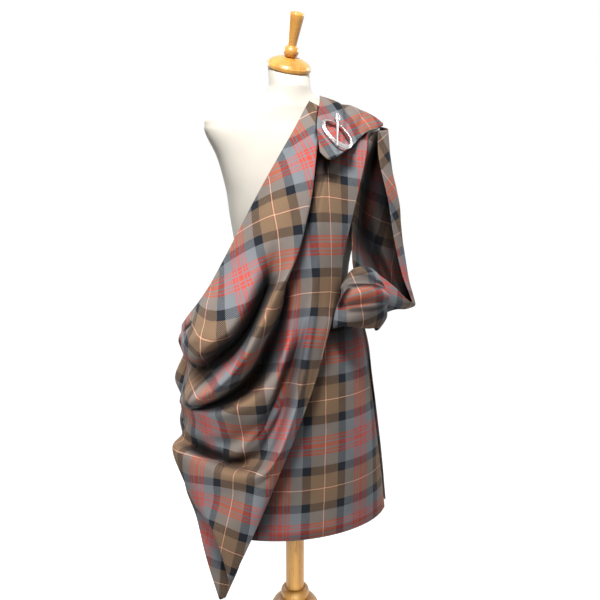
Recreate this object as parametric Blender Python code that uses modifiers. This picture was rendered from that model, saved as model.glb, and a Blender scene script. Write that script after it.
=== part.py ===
"""Scottish kilt and plaid on a dress form.

A knife-pleated tartan kilt and a long plaid of the same cloth, draped from a brooch on the wearer's
left shoulder, over a limbless dress form on a turned wooden stand. The wearer faces -Y, +Z is up.
Lengths are in metres, and the fold tables are in millimetres from the foot of the pole.
"""

import math

import bmesh
import bpy
import numpy as np
from mathutils import Matrix, Vector
from mathutils.bvhtree import BVHTree

MM = 0.001
GAP = 0.0004

PLAID_WALL = 0.002
KILT_WALL = 0.0012
BAND_WALL = 0.0018

# The stand.
POLE_RADIUS = 0.022
POLE_FOOT = 0.272
BEAD_RADIUS = 0.034
BEAD_HEIGHT = 0.028
BEAD_FLAT = 0.002
FORM_FOOT = 0.800
HUB_RADIUS = 0.058
LEG_THICKNESS = 0.026
LEG_TURNS = {"left": 194.0, "right": 314.0, "back": 74.0}

# The neck block: its place on the form's neck, and how far it leans forward and to the wearer's left.
NECK_TOP = (-0.0100, 0.0100, 1.5040)
NECK_LEAN_FORWARD = math.radians(23)
NECK_LEAN_SIDE = math.radians(4)

# The kilt, in degrees round the body: 0 is the wearer's left, 90 the front, 180 the right, 270 the back.
KILT_TOP = 1.045
KILT_HEM = 0.512
PLEATS = 23
PLEAT_START = 184.0
PLEAT_END = 372.0
FREE_EDGE_TOP = 38.0
FREE_EDGE_HEM = 26.0
UNDER_APRON_END = 535.0
BAND_DEPTH = 0.040

# Form sections: height, half width, front depth, back depth, squareness of the oval, shift sideways.
FORM_SECTIONS = (
    (0.800, 0.146, 0.098, 0.108, 2.0, 0.000),
    (0.840, 0.156, 0.102, 0.118, 2.0, 0.000),
    (0.900, 0.148, 0.098, 0.108, 2.0, 0.000),
    (0.970, 0.131, 0.090, 0.092, 2.0, 0.000),
    (1.030, 0.121, 0.088, 0.083, 2.0, 0.000),
    (1.080, 0.124, 0.090, 0.086, 2.0, 0.000),
    (1.130, 0.132, 0.092, 0.094, 2.1, 0.000),
    (1.195, 0.142, 0.096, 0.101, 2.1, 0.000),
    (1.260, 0.151, 0.090, 0.105, 2.2, 0.000),
    (1.320, 0.168, 0.077, 0.100, 2.2, 0.000),
    (1.360, 0.188, 0.065, 0.088, 2.2, 0.000),
    (1.382, 0.193, 0.057, 0.076, 2.1, 0.000),
    (1.399, 0.183, 0.052, 0.064, 2.0, -0.001),
    (1.411, 0.158, 0.050, 0.057, 2.0, -0.003),
    (1.422, 0.122, 0.049, 0.053, 2.0, -0.004),
    (1.434, 0.078, 0.047, 0.050, 2.0, -0.007),
    (1.448, 0.053, 0.046, 0.047, 2.0, -0.010),
    (1.465, 0.044, 0.046, 0.045, 2.0, -0.010),
)

# Kilt sections: height, half width, front depth, back depth, all to the outermost cloth.
KILT_SECTIONS = (
    (1.045, 0.1316, 0.0952, 0.0931),
    (1.010, 0.1400, 0.1030, 0.1030),
    (0.960, 0.1570, 0.1150, 0.1180),
    (0.900, 0.1730, 0.1260, 0.1330),
    (0.830, 0.1820, 0.1360, 0.1480),
    (0.740, 0.1950, 0.1470, 0.1560),
    (0.630, 0.2100, 0.1540, 0.1620),
    (0.512, 0.2230, 0.1580, 0.1680),
)

FORM_RINGS = 23
FORM_SIDES = 28
NECK_RADIUS = 0.0445

# How cloth lies over what is beneath it: from the middle of its wall down, and how far it looks.
LIFT_PASSES = 9
OVER_FORM = 0.0043
OVER_KILT = 0.0052
OVER_CLOTH = 0.0035
OVER_TAIL = 0.0026
TAIL_ON_KILT = 0.0021
WRAP_ON_KILT = 0.0009
LOOP_ON_FORM = 0.0026
WRAP_ON_LOOP = 0.0026
SHOULDER_ON_BACK = 0.0045
FAR_UNDER = 0.060
NEAR_UNDER = 0.012
BENEATH = 0.85
CORE_TOP = 1.300
HULL_SIDES = 72

# A leg's outline, from the hub out to the toe along the top, and from the flat sole's heel back up
# to the hub: (out, up).
LEG_UPPER = (
    (0.090, 0.256), (0.125, 0.236), (0.160, 0.192), (0.190, 0.128), (0.222, 0.064), (0.256, 0.036),
    (0.292, 0.026), (0.302, 0.014),
)
LEG_TOE = (0.302, 0.000)
LEG_LOWER = (
    (0.250, 0.000), (0.222, 0.012), (0.190, 0.060), (0.160, 0.124), (0.126, 0.180),
    (0.092, 0.200),
)
LEG_ROUNDING = 0.002

# Knife pleats: how deep three layers lie, and how far each fold laps under the next face.
PLEAT_DEPTH_TOP = 0.0075
PLEAT_DEPTH_HEM = 0.0090
PLEAT_LAP_TOP = 4.1
PLEAT_LAP_HEM = 4.3
APRON_POINTS = 14
UNDER_APRON_DEPTH = 0.0050
BAND_POINTS = 48
BAND_EASE = 0.0010

# The brooch: an oval ring with a bevelled face, lying on the front of the shoulder, and its pin.
# Its place and directions are those of the ring's face, its long way and the pin.
BROOCH_PLACE = (0.0627, -0.0960, 1.3623)
BROOCH_OUT = (0.276, -0.755, 0.595)
BROOCH_LONG = (0.646, -0.313, -0.696)
BROOCH_PIN_UP = (0.186, 0.649, 0.738)
BROOCH_OVAL = 0.70
RING_HEIGHT = 0.0064
RING_PROFILE = (
    (0.0330, 0.0000), (0.0330, 0.0058), (0.0336, RING_HEIGHT), (0.0346, RING_HEIGHT),
    (0.0394, 0.0030), (0.0400, 0.0022), (0.0400, 0.0000),
)
PIN_HEAD = 0.0066
PIN_REST = 0.0305
PIN_LOWER = 0.0006
PIN_TILT = math.radians(4)
PIN_ASIDE = -0.005
PIN_PROFILE = (
    (0.0, 0.0460), (0.0022, 0.0454), (0.0030, 0.0435), (0.0020, 0.0415), (0.0045, 0.0395),
    (0.0060, 0.0360), (PIN_HEAD, PIN_REST), (0.0056, 0.0265), (0.0030, 0.0240), (0.0036, 0.0225),
    (0.0026, 0.0210), (0.0022, 0.0000), (0.0015, -0.0300), (0.0005, -0.0415), (0.0, -0.0420),
)

# The plaid's fold lines. Each row is one ridge, valley or edge, and its columns are places along it
# as (x, y, z) in millimetres: x to the wearer's left, y to the back, z up from the floor.
# The front stretch, from the band's upper edge across to the free edge. Its columns are ridge of the
# shoulder, collarbone, breast, ribs, waist, hip, flank, swag, side and behind the side.
# Edge to hollow is its turned-down upper fold, roll to tuck the narrow fold beneath, swell to valley
# the hanging lobe with the pocket under it, and ridge2 to free the outer layer with the long tail.
FRONT_FOLDS = {
    "edge": (
        (17, -53, 1432), (-20, -61, 1370), (-108, -81, 1227), (-156, -80, 1139), (-194, -66, 1066),
        (-217, -44, 1024), (-234, -16, 994), (-242, 12, 974), (-247, 50, 951), (-234, 98, 935),
    ),
    "crest": (
        (25, -53, 1428), (-4, -80, 1365), (-83, -120, 1224), (-134, -123, 1134), (-171, -123, 1061),
        (-203, -113, 1011), (-230, -85, 974), (-247, -44, 949), (-253, 21, 926), (-240, 90, 902),
    ),
    "lip": (
        (35, -52, 1424), (7, -94, 1360), (-57, -137, 1220), (-107, -146, 1128), (-132, -160, 1055),
        (-167, -160, 988), (-208, -138, 949), (-236, -83, 913), (-250, -6, 896), (-238, 79, 869),
    ),
    "hollow": (
        (44, -50, 1419), (15, -100, 1356), (-35, -144, 1218), (-79, -147, 1121), (-96, -114, 1042),
        (-128, -84, 963), (-173, -54, 909), (-205, -16, 871), (-233, 23, 862), (-225, 75, 850),
    ),
    "roll": (
        (56, -48, 1413), (23, -103, 1350), (-10, -145, 1218), (-43, -165, 1118), (-88, -175, 1046),
        (-124, -181, 982), (-164, -177, 913), (-210, -139, 855), (-252, -51, 807), (-257, 53, 778),
    ),
    "return": (
        (67, -47, 1410), (20, -93, 1349), (-13, -132, 1216), (-45, -150, 1114), (-73, -164, 1039),
        (-108, -171, 972), (-147, -160, 897), (-198, -122, 838), (-247, -46, 796), (-255, 52, 769),
    ),
    "tuck": (
        (78, -46, 1406), (17, -74, 1346), (-37, -113, 1211), (-64, -130, 1105), (-59, -125, 1022),
        (-88, -110, 939), (-122, -96, 862), (-177, -76, 813), (-236, -24, 781), (-253, 57, 757),
    ),
    "swell": (
        (84, -46, 1404), (28, -74, 1344), (-24, -115, 1211), (-48, -131, 1106), (-50, -138, 1019),
        (-75, -137, 927), (-118, -156, 852), (-181, -138, 812), (-234, -35, 777), (-250, 59, 747),
    ),
    "belly": (
        (90, -46, 1402), (39, -75, 1342), (-12, -117, 1213), (-32, -132, 1108), (-39, -142, 1018),
        (-66, -159, 922), (-111, -160, 811), (-179, -123, 770), (-231, -27, 754), (-248, 63, 731),
    ),
    "turn": (
        (96, -44, 1401), (49, -76, 1341), (-1, -120, 1215), (-17, -134, 1110), (-27, -146, 1018),
        (-51, -148, 914), (-110, -125, 757), (-181, -94, 726), (-240, -6, 724), (-248, 71, 713),
    ),
    "valley": (
        (102, -44, 1400), (59, -78, 1340), (11, -123, 1215), (-4, -137, 1112), (-16, -150, 1020),
        (-37, -143, 920), (-85, -100, 716), (-150, -71, 675), (-254, 21, 694), (-247, 81, 689),
    ),
    "ridge2": (
        (108, -43, 1398), (67, -80, 1339), (23, -126, 1217), (10, -140, 1116), (-2, -155, 1022),
        (-26, -178, 932), (-61, -184, 799), (-128, -172, 683), (-273, -15, 678), (-268, 77, 649),
    ),
    "tail_a": (
        (119, -40, 1395), (94, -68, 1339), (50, -116, 1219), (34, -133, 1116), (17, -147, 1022),
        (-6, -169, 943), (-41, -182, 809), (-119, -177, 660), (-240, -66, 590), (-228, 3, 559),
    ),
    "tail_b": (
        (131, -39, 1390), (119, -61, 1338), (77, -105, 1220), (57, -122, 1116), (40, -137, 1027),
        (13, -161, 954), (-32, -178, 811), (-119, -176, 615), (-209, -138, 546), (-199, -115, 541),
    ),
    "free": (
        (150, -39, 1382), (143, -64, 1338), (108, -93, 1224), (76, -111, 1117), (63, -127, 1042),
        (31, -151, 964), (-23, -176, 818), (-127, -172, 570), (-183, -161, 444), (-176, -144, 444),
    ),
}

# The stretch across the back, from its upper edge to its lower one. Its columns are shoulder, blade,
# spine, loin, flank, side and the end tucked inside the front stretch.
BACK_FOLDS = {
    "upper": (
        (70, 40, 1441), (35, 106, 1335), (-40, 120, 1195), (-128, 118, 1065), (-200, 118, 975),
        (-222, 98, 945), (-214, 40, 935),
    ),
    "high_ridge": (
        (88, 46, 1436), (62, 118, 1310), (-20, 140, 1165), (-125, 150, 1020), (-216, 145, 935),
        (-250, 112, 905), (-224, 45, 890),
    ),
    "high_dip": (
        (104, 44, 1431), (85, 108, 1290), (0, 126, 1130), (-115, 142, 975), (-210, 140, 890),
        (-240, 108, 868), (-218, 40, 855),
    ),
    "middle_ridge": (
        (120, 44, 1425), (106, 118, 1270), (20, 146, 1095), (-105, 176, 925), (-222, 160, 845),
        (-262, 106, 812), (-228, 36, 800),
    ),
    "low_dip": (
        (134, 40, 1419), (122, 106, 1255), (40, 132, 1060), (-90, 172, 875), (-212, 150, 790),
        (-246, 100, 765), (-226, 34, 755),
    ),
    "low_ridge": (
        (148, 36, 1412), (138, 110, 1240), (62, 146, 1020), (-75, 190, 810), (-210, 162, 735),
        (-254, 104, 712), (-232, 30, 705),
    ),
    "lower": (
        (160, 28, 1404), (150, 96, 1230), (82, 135, 985), (-58, 182, 760), (-192, 150, 690),
        (-244, 100, 668), (-228, 30, 660),
    ),
}

# The loop that hangs from the point of the shoulder like an open sleeve, from its front edge round
# to the body. Its columns are ridge, arm, breast, ribs, waist, corner, flap and tuck.
LOOP_FOLDS = {
    "edge": (
        (175, -44, 1376), (175, -52, 1318), (192, -68, 1229), (206, -75, 1142), (225, -85, 1059),
        (241, -100, 1005), (191, -109, 1046), (148, -109, 1078),
    ),
    "outline": (
        (204, -27, 1380), (210, -37, 1315), (228, -47, 1217), (240, -53, 1117), (251, -66, 1042),
        (256, -84, 994), (195, -116, 1019), (158, -120, 1038),
    ),
    "back": (
        (213, -1, 1386), (205, 6, 1310), (220, 12, 1211), (233, 8, 1112), (246, -13, 1039),
        (260, -52, 988), (201, -104, 994), (163, -109, 997),
    ),
    "ridge": (
        (205, 10, 1389), (185, 9, 1308), (192, 10, 1216), (211, 10, 1121), (233, -8, 1048),
        (243, -39, 987), (206, -78, 989), (165, -89, 975),
    ),
    "streak": (
        (192, -9, 1383), (171, -12, 1305), (171, 13, 1211), (194, 36, 1115), (222, 14, 1045),
        (229, -19, 991), (206, -49, 993), (172, -62, 981),
    ),
    "inner": (
        (162, -38, 1372), (128, -62, 1301), (103, -84, 1217), (104, -84, 1137), (106, -88, 1090),
        (117, -84, 1050), (127, -83, 1032), (137, -81, 1020),
    ),
}

# The wrap that ties the loop's end round the waist, from its top down and under. Its columns are
# tuck, front, belly, turn and end.
WRAP_FOLDS = {
    "top": (
        (61, -144, 1061), (82, -144, 1089), (114, -143, 1094), (142, -134, 1079), (147, -123, 1069),
    ),
    "flap": (
        (56, -151, 1054), (74, -161, 1079), (107, -166, 1083), (145, -154, 1065), (156, -140, 1054),
    ),
    "twist": (
        (57, -150, 1041), (72, -162, 1057), (108, -164, 1064), (150, -149, 1049), (158, -137, 1041),
    ),
    "belly": (
        (52, -152, 1027), (68, -178, 1039), (106, -184, 1049), (157, -164, 1035), (166, -150, 1025),
    ),
    "crease": (
        (46, -152, 1011), (72, -169, 1017), (111, -175, 1022), (154, -157, 1015), (163, -142, 1005),
    ),
    "roll": (
        (42, -151, 992), (68, -175, 1000), (105, -180, 1003), (155, -157, 995), (162, -144, 986),
    ),
    "bottom": (
        (42, -144, 970), (66, -163, 978), (103, -163, 974), (145, -139, 965), (149, -128, 955),
    ),
    "under": (
        (63, -103, 971), (92, -99, 977), (127, -97, 972), (152, -100, 965), (151, -95, 959),
    ),
}

# The hanging end behind the front stretch. Its columns are hip, thigh, knee, shin and point.
TAIL_FOLDS = {
    "outer": (
        (-256, 73, 604), (-250, 25, 566), (-237, -24, 534), (-224, -81, 463), (-202, -114, 379),
    ),
    "middle": (
        (-208, -46, 646), (-204, -71, 600), (-201, -88, 553), (-199, -107, 474), (-199, -117, 378),
    ),
    "inner": (
        (-151, -98, 648), (-147, -120, 612), (-150, -130, 558), (-156, -132, 473), (-189, -123, 385),
    ),
}

# The piece over the shoulder with its pinned corner, from the neck to the shoulder's point. Its
# columns are behind, ridge, upper, middle and lower.
SHOULDER_FOLDS = {
    "neck": (
        (70, 32, 1433), (50, -8, 1440), (33, -55, 1414), (19, -103, 1368), (16, -132, 1325),
    ),
    "fold": (
        (94, 33, 1430), (77, -12, 1432), (60, -48, 1399), (42, -104, 1354), (33, -136, 1310),
    ),
    "pin": (
        (122, 34, 1423), (103, -9, 1423), (88, -38, 1391), (67, -92, 1348), (56, -124, 1318),
    ),
    "outer": (
        (160, 31, 1412), (140, -9, 1414), (124, -27, 1388), (104, -63, 1360), (87, -100, 1334),
    ),
    "tip": (
        (215, 22, 1393), (199, -9, 1394), (180, -21, 1380), (139, -44, 1367), (107, -81, 1345),
    ),
}


def look(name, colour, roughness, metallic=0.0):
    """A plain Principled material."""
    material = bpy.data.materials.new(name)
    material.use_nodes = True
    shader = material.node_tree.nodes["Principled BSDF"]
    shader.inputs["Base Color"].default_value = (*colour, 1.0)
    shader.inputs["Roughness"].default_value = roughness
    shader.inputs["Metallic"].default_value = metallic
    return material


def clear_scene():
    for old in list(bpy.data.objects):
        bpy.data.objects.remove(old, do_unlink=True)


def put(name, data, material, where=None):
    """A new object of the part, standing on the part's own empty."""
    made = bpy.data.objects.new(name, data)
    data.materials.append(material)
    collection.objects.link(made)
    made.parent = root
    if where is not None:
        made.matrix_local = where
    return made


def mesh_object(name, points, faces, material, where=None):
    mesh = bpy.data.meshes.new(name)
    mesh.from_pydata([tuple(point) for point in points], [], faces)
    mesh.shade_smooth()
    return put(name, mesh, material, where)


def grid_faces(rows, columns, closed=False):
    """Quads over a grid of points, row by row; closed joins the last column to the first."""
    wide = columns if closed else columns - 1
    faces = []
    for row in range(rows - 1):
        for column in range(wide):
            after = (column + 1) % columns
            low = row * columns
            high = low + columns
            faces.append((low + column, low + after, high + after, high + column))
    return faces


def smooth_through(points, samples, axis):
    """Centripetal Catmull-Rom curve through the points along one axis of the array."""
    points = np.moveaxis(np.asarray(points, float), axis, 0)
    steps = np.linalg.norm(np.diff(points, axis=0), axis=-1)
    steps = steps.reshape(len(steps), -1).mean(axis=1)
    gaps = np.sqrt(np.maximum(steps, 1e-6))
    knots = np.concatenate(([0.0], np.cumsum(gaps)))
    column = (-1,) + (1,) * (points.ndim - 1)
    wide = gaps.reshape(column)
    slopes = np.diff(points, axis=0) / wide
    tangents = np.empty_like(points)
    tangents[0] = slopes[0]
    tangents[-1] = slopes[-1]
    tangents[1:-1] = (slopes[:-1] * wide[1:] + slopes[1:] * wide[:-1]) / (wide[:-1] + wide[1:])
    at = np.linspace(0.0, knots[-1], samples)
    span = np.clip(np.searchsorted(knots, at, side="right") - 1, 0, len(gaps) - 1)
    t = ((at - knots[span]) / gaps[span]).reshape(column)
    width = gaps[span].reshape(column)
    curve = (2 * t**3 - 3 * t**2 + 1) * points[span] + (t**3 - 2 * t**2 + t) * width * tangents[span]
    curve += (3 * t**2 - 2 * t**3) * points[span + 1] + (t**3 - t**2) * width * tangents[span + 1]
    return np.moveaxis(curve, 0, axis)


def solidify(cloth, thickness):
    wall = cloth.modifiers.new("Wall", "SOLIDIFY")
    wall.thickness = thickness
    wall.offset = 0.0
    wall.use_even_offset = True
    return cloth


def oval(section, degrees):
    """Points round a section (half width, front, back, squareness, shift); 0 is +X, 90 the front."""
    half_width, front, back, squareness, shift = section
    angle = np.radians(degrees)
    across = np.cos(angle)
    ahead = np.sin(angle)
    power = 2.0 / squareness
    x = shift + half_width * np.sign(across) * np.abs(across) ** power
    y = -np.where(ahead > 0, front, back) * np.sign(ahead) * np.abs(ahead) ** power
    return x, y


# ---- the dress form ----

def form_sections():
    """The form's sections made smooth, one row every centimetre or so up to the neck."""
    return smooth_through(FORM_SECTIONS, FORM_RINGS, 0)


def neck_frame():
    """Turns a piece so that its Z runs along the neck, with its origin on the neck's top."""
    forward = Matrix.Rotation(NECK_LEAN_FORWARD, 4, "X")
    return Matrix.Translation(NECK_TOP) @ Matrix.Rotation(NECK_LEAN_SIDE, 4, "Y") @ forward


def make_form():
    degrees = np.arange(FORM_SIDES) * 360.0 / FORM_SIDES
    rings = []
    for height, *section in form_sections():
        x, y = oval(section, degrees)
        rings.append(np.stack([x, y, np.full_like(x, height)], axis=1))
    angle = np.radians(degrees)
    frame = neck_frame()
    top = [frame @ Vector((NECK_RADIUS * math.cos(a), -NECK_RADIUS * math.sin(a), 0.0)) for a in angle]
    rings.append(np.array(top))
    points = np.concatenate(rings)
    faces = grid_faces(len(rings), FORM_SIDES, closed=True)
    faces = [face[::-1] for face in faces]
    faces.append(tuple(range(FORM_SIDES)))
    last = len(points) - FORM_SIDES
    faces.append(tuple(range(len(points) - 1, last - 1, -1)))
    mesh_object("form_torso", points, faces, cream_jersey)
    return tree_of(np.array(rings), closed=True)


def lifted(start, under):
    """How far a point of cloth has to move to clear each surface under it.

    Each surface comes as (tree, clearance, reach). Outwards is the side away from the body's core,
    and a point that lies past a surface's edge stays where it is.
    """
    point = Vector(start)
    for tree, clearance, reach in under:
        place, normal, _, distance = tree.find_nearest(point)
        core = Vector((0.0, 0.0, min(place.z, CORE_TOP)))
        if normal.dot(place - core) < 0:
            normal.negate()
        height = (point - place).dot(normal)
        if height < 0 and distance < reach and -height > BENEATH * distance:
            point = place + normal * clearance
        elif height >= 0 and distance < clearance:
            point += (point - place).normalized() * (clearance - distance)
    return point - Vector(start)


def halved(grid, axis):
    """The grid with a new line half way between each two."""
    grid = np.moveaxis(grid, axis, 0)
    finer = np.empty((2 * len(grid) - 1, *grid.shape[1:]))
    finer[::2] = grid
    finer[1::2] = (grid[:-1] + grid[1:]) / 2
    return np.moveaxis(finer, 0, axis)


def lift_off(grid, under):
    """Moves a cloth outwards until its corners, edges and middles clear what is under it."""
    grid = np.array(grid)
    rows, columns = grid.shape[:2]
    for _ in range(LIFT_PASSES):
        finer = halved(halved(grid, 0), 1)
        moves = np.array([lifted(point, under) for point in finer.reshape(-1, 3)])
        moves = np.pad(moves.reshape(finer.shape), ((1, 1), (1, 1), (0, 0)))
        longest = np.zeros_like(grid)
        for down in range(3):
            for across in range(3):
                near = moves[down:down + 2 * rows - 1:2, across:across + 2 * columns - 1:2]
                longer = np.linalg.norm(near, axis=-1) > np.linalg.norm(longest, axis=-1)
                longest[longer] = near[longer]
        grid += longest
    return grid


def tree_of(grid, closed=False):
    """A search tree over the middle of a cloth, or over a closed body."""
    rows, columns = grid.shape[:2]
    return BVHTree.FromPolygons(grid.reshape(-1, 3).tolist(), grid_faces(rows, columns, closed))


# ---- the stand and the neck block ----

def turned(name, profile, material, where=None, steps=20):
    """A turned piece: its profile runs down the outer side as (radius, height). It is closed on the
    axis, or round to its own start where that is off the axis, as a ring's is."""
    mesh = bpy.data.meshes.new(name)
    corners = [(radius, 0.0, height) for radius, height in profile]
    edges = [(k, k + 1) for k in range(len(corners) - 1)]
    if profile[0][0] > 0.0:
        edges.append((len(corners) - 1, 0))
    mesh.from_pydata(corners, edges, [])
    piece = put(name, mesh, material, where)
    screw = piece.modifiers.new("Turning", "SCREW")
    screw.steps = steps
    screw.render_steps = steps
    screw.use_merge_vertices = True
    screw.merge_threshold = 0.0001
    screw.use_smooth_shade = True
    return piece


def turned_ring(name, inner, outer, low, high, material, steps=24):
    """A turned bead: a half-round outside a straight bore, with a narrow flat at each end."""
    middle = (low + high) / 2
    half = (high - low) / 2
    reach = outer - inner - BEAD_FLAT
    rounds = np.radians(np.linspace(90, -90, 7))
    profile = [(inner, high)]
    profile += [(outer - reach + reach * math.cos(a), middle + half * math.sin(a)) for a in rounds]
    profile.append((inner, low))
    return turned(name, profile, material, steps=steps)


def make_stand():
    turned("stand_pole", (
        (0.0, FORM_FOOT - GAP), (POLE_RADIUS, FORM_FOOT - GAP),
        (POLE_RADIUS, POLE_FOOT), (0.0, POLE_FOOT),
    ), beech, steps=24)
    turned_ring("stand_bead", POLE_RADIUS + GAP, BEAD_RADIUS, POLE_FOOT, POLE_FOOT + BEAD_HEIGHT, beech)
    top = POLE_FOOT - GAP
    turned("stand_hub", (
        (0.0, top), (0.032, top), (0.046, top - 0.005), (0.055, top - 0.014),
        (HUB_RADIUS, top - 0.026), (HUB_RADIUS, top - 0.092), (0.050, top - 0.100),
        (0.030, top - 0.108), (0.018, top - 0.124), (0.0, top - 0.130),
    ), beech, steps=24)
    for side, degrees in LEG_TURNS.items():
        make_leg(f"stand_leg_{side}", math.radians(degrees))


def make_leg(name, turn):
    """One sawn leg: its outline lies in the upright plane through the pole, swept to the board's width."""
    start = HUB_RADIUS + GAP
    upper = smooth_through([(start, 0.252), *LEG_UPPER], 15, 0)
    lower = smooth_through([*LEG_LOWER, (start, 0.192)], 12, 0)
    curve = bpy.data.curves.new(name, "CURVE")
    curve.dimensions = "2D"
    curve.fill_mode = "BOTH"
    curve.bevel_depth = LEG_ROUNDING
    curve.bevel_resolution = 0
    curve.extrude = LEG_THICKNESS / 2 - LEG_ROUNDING
    curve.offset = -LEG_ROUNDING
    spline = curve.splines.new("POLY")
    outline = np.concatenate([upper, [LEG_TOE], lower])
    spline.points.add(len(outline) - 1)
    for point, (out, up) in zip(spline.points, outline):
        point.co = (out, up, 0.0, 1.0)
    spline.use_cyclic_u = True
    upright = Matrix.Rotation(turn, 4, "Z") @ Matrix.Rotation(math.pi / 2, 4, "X")
    return put(name, curve, beech, upright)


def make_neck_block():
    frame = neck_frame()
    rim = NECK_RADIUS + 0.0032
    turned("form_neck_block", (
        (0.0, 0.0240), (0.0175, 0.0240), (0.0300, 0.0205), (0.0400, 0.0155), (0.0450, 0.0110),
        (rim, 0.0080), (rim, 0.0018), (rim - 0.0014, GAP), (0.0, GAP),
    ), beech, frame, steps=24)
    turned("form_finial", (
        (0.0, 0.1140), (0.0120, 0.1130), (0.0152, 0.1085), (0.0150, 0.1030), (0.0125, 0.0800),
        (0.0100, 0.0600), (0.0092, 0.0480), (0.0100, 0.0462), (0.0145, 0.0420), (0.0162, 0.0355),
        (0.0145, 0.0290), (0.0110, 0.0255), (0.0100, 0.0240 + GAP), (0.0, 0.0240 + GAP),
    ), beech, frame)


# ---- the kilt ----

def kilt_path(height):
    """The kilt's one length of cloth at a height, as (degrees round the body, depth below the surface).

    It starts at the free edge of the outer apron, crosses the front and the wearer's right side, makes
    the knife pleats round the back, and ends in the under apron beneath the outer one. Each pleat's
    face rises from the inner layer to a fold on the surface, and the cloth turns back beneath it.
    """
    down = (KILT_TOP - height) / (KILT_TOP - KILT_HEM)
    depth = PLEAT_DEPTH_TOP + (PLEAT_DEPTH_HEM - PLEAT_DEPTH_TOP) * down
    lap = PLEAT_LAP_TOP + (PLEAT_LAP_HEM - PLEAT_LAP_TOP) * down
    free_edge = FREE_EDGE_TOP + (FREE_EDGE_HEM - FREE_EDGE_TOP) * down
    path = [(degrees, 0.0) for degrees in np.linspace(free_edge, PLEAT_START - 6.0, APRON_POINTS)]
    for degrees in np.linspace(PLEAT_START, PLEAT_END, PLEATS + 1):
        path += [
            (degrees, 0.0), (degrees, 0.3 * depth),
            (degrees - lap, 0.7 * depth), (degrees - lap, depth),
        ]
    under = np.linspace(PLEAT_END + 8.0, UNDER_APRON_END, APRON_POINTS)
    path += [(degrees, UNDER_APRON_DEPTH) for degrees in under]
    return np.array(path)


def kilt_surface(height, degrees, depth):
    """The place that lies the given depth inside the kilt's outer oval."""
    sections = np.array(KILT_SECTIONS[::-1])
    half_width, front, back = (np.interp(height, sections[:, 0], sections[:, k]) for k in (1, 2, 3))
    angle = np.radians(degrees)
    long_way = np.where(np.sin(angle) > 0, front, back)
    x = half_width * np.cos(angle)
    y = -long_way * np.sin(angle)
    normal = np.stack([x / half_width**2, y / long_way**2], axis=-1)
    normal /= np.linalg.norm(normal, axis=-1, keepdims=True)
    x -= normal[..., 0] * depth
    y -= normal[..., 1] * depth
    return np.stack([x, y, np.full_like(x, height)], axis=-1)


def make_kilt():
    rows = [kilt_surface(height, *kilt_path(height).T) for height, *_ in KILT_SECTIONS]
    grid = np.stack(rows)
    faces = grid_faces(grid.shape[0], grid.shape[1])
    solidify(mesh_object("kilt_skirt", grid.reshape(-1, 3), faces, tartan), KILT_WALL)


def make_waistband():
    """A straight band over the top of the kilt, once round, meeting above the apron's free edge."""
    out = -(KILT_WALL + BAND_WALL) / 2 - BAND_EASE
    degrees = np.linspace(FREE_EDGE_TOP, FREE_EDGE_TOP + 357.0, BAND_POINTS)
    heights = (KILT_TOP - BAND_DEPTH, KILT_TOP - BAND_DEPTH / 2, KILT_TOP + 0.001)
    grid = np.stack([kilt_surface(height, degrees, out) for height in heights])
    faces = grid_faces(len(heights), BAND_POINTS)
    solidify(mesh_object("kilt_waistband", grid.reshape(-1, 3), faces, tartan), BAND_WALL)


# ---- the plaid ----

def skin(folds, across, along):
    """A smooth cloth surface through the fold lines: rows across the folds, columns along them."""
    lines = np.array(list(folds.values()), float) * MM
    return smooth_through(smooth_through(lines, along, 1), across, 0)


def plaid_stretch(name, folds, across, along, under, clearance=OVER_CLOTH):
    """One stretch of the plaid, lifted off what is beneath it and given its wall."""
    grid = lift_off(skin(folds, across, along), under)
    cloth = mesh_object(name, grid.reshape(-1, 3), grid_faces(across, along), tartan)
    solidify(cloth, PLAID_WALL)
    return tree_of(grid), clearance, NEAR_UNDER


def kilt_hull():
    """The kilt's outermost ovals, with no pleats."""
    degrees = np.arange(HULL_SIDES) * 360.0 / HULL_SIDES
    rings = [kilt_surface(height, degrees, 0.0) for height, *_ in KILT_SECTIONS]
    return tree_of(np.stack(rings), closed=True)


def make_plaid(form):
    hull = kilt_hull()
    on_form = (form, OVER_FORM, FAR_UNDER)
    on_kilt = (hull, OVER_KILT, FAR_UNDER)
    body = [on_form, on_kilt]
    back = plaid_stretch("plaid_back", BACK_FOLDS, 13, 16, body)
    near_kilt = (hull, TAIL_ON_KILT, FAR_UNDER)
    tail = plaid_stretch("plaid_tail", TAIL_FOLDS, 6, 10, [on_form, near_kilt], OVER_TAIL)
    near_form = (form, LOOP_ON_FORM, FAR_UNDER)
    loop = plaid_stretch("plaid_side_loop", LOOP_FOLDS, 15, 17, [near_form, on_kilt])
    near_kilt = (hull, WRAP_ON_KILT, FAR_UNDER)
    on_loop = (loop[0], WRAP_ON_LOOP, NEAR_UNDER)
    wrap = plaid_stretch("plaid_waist_wrap", WRAP_FOLDS, 15, 11, [on_form, near_kilt, on_loop])
    front = plaid_stretch("plaid_front", FRONT_FOLDS, 40, 28, [*body, back, tail, loop, wrap])
    on_back = (back[0], SHOULDER_ON_BACK, NEAR_UNDER)
    plaid_stretch("plaid_shoulder", SHOULDER_FOLDS, 10, 11, [*body, on_back, loop, front])


# ---- the brooch ----

def face_frame(place, out, along):
    """A frame at a place: Z is out of the face, and Y runs along it."""
    out = Vector(out).normalized()
    along = Vector(along)
    along = (along - out * along.dot(out)).normalized()
    frame = Matrix((along.cross(out), along, out)).transposed().to_4x4()
    frame.translation = Vector(place)
    return frame


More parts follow.
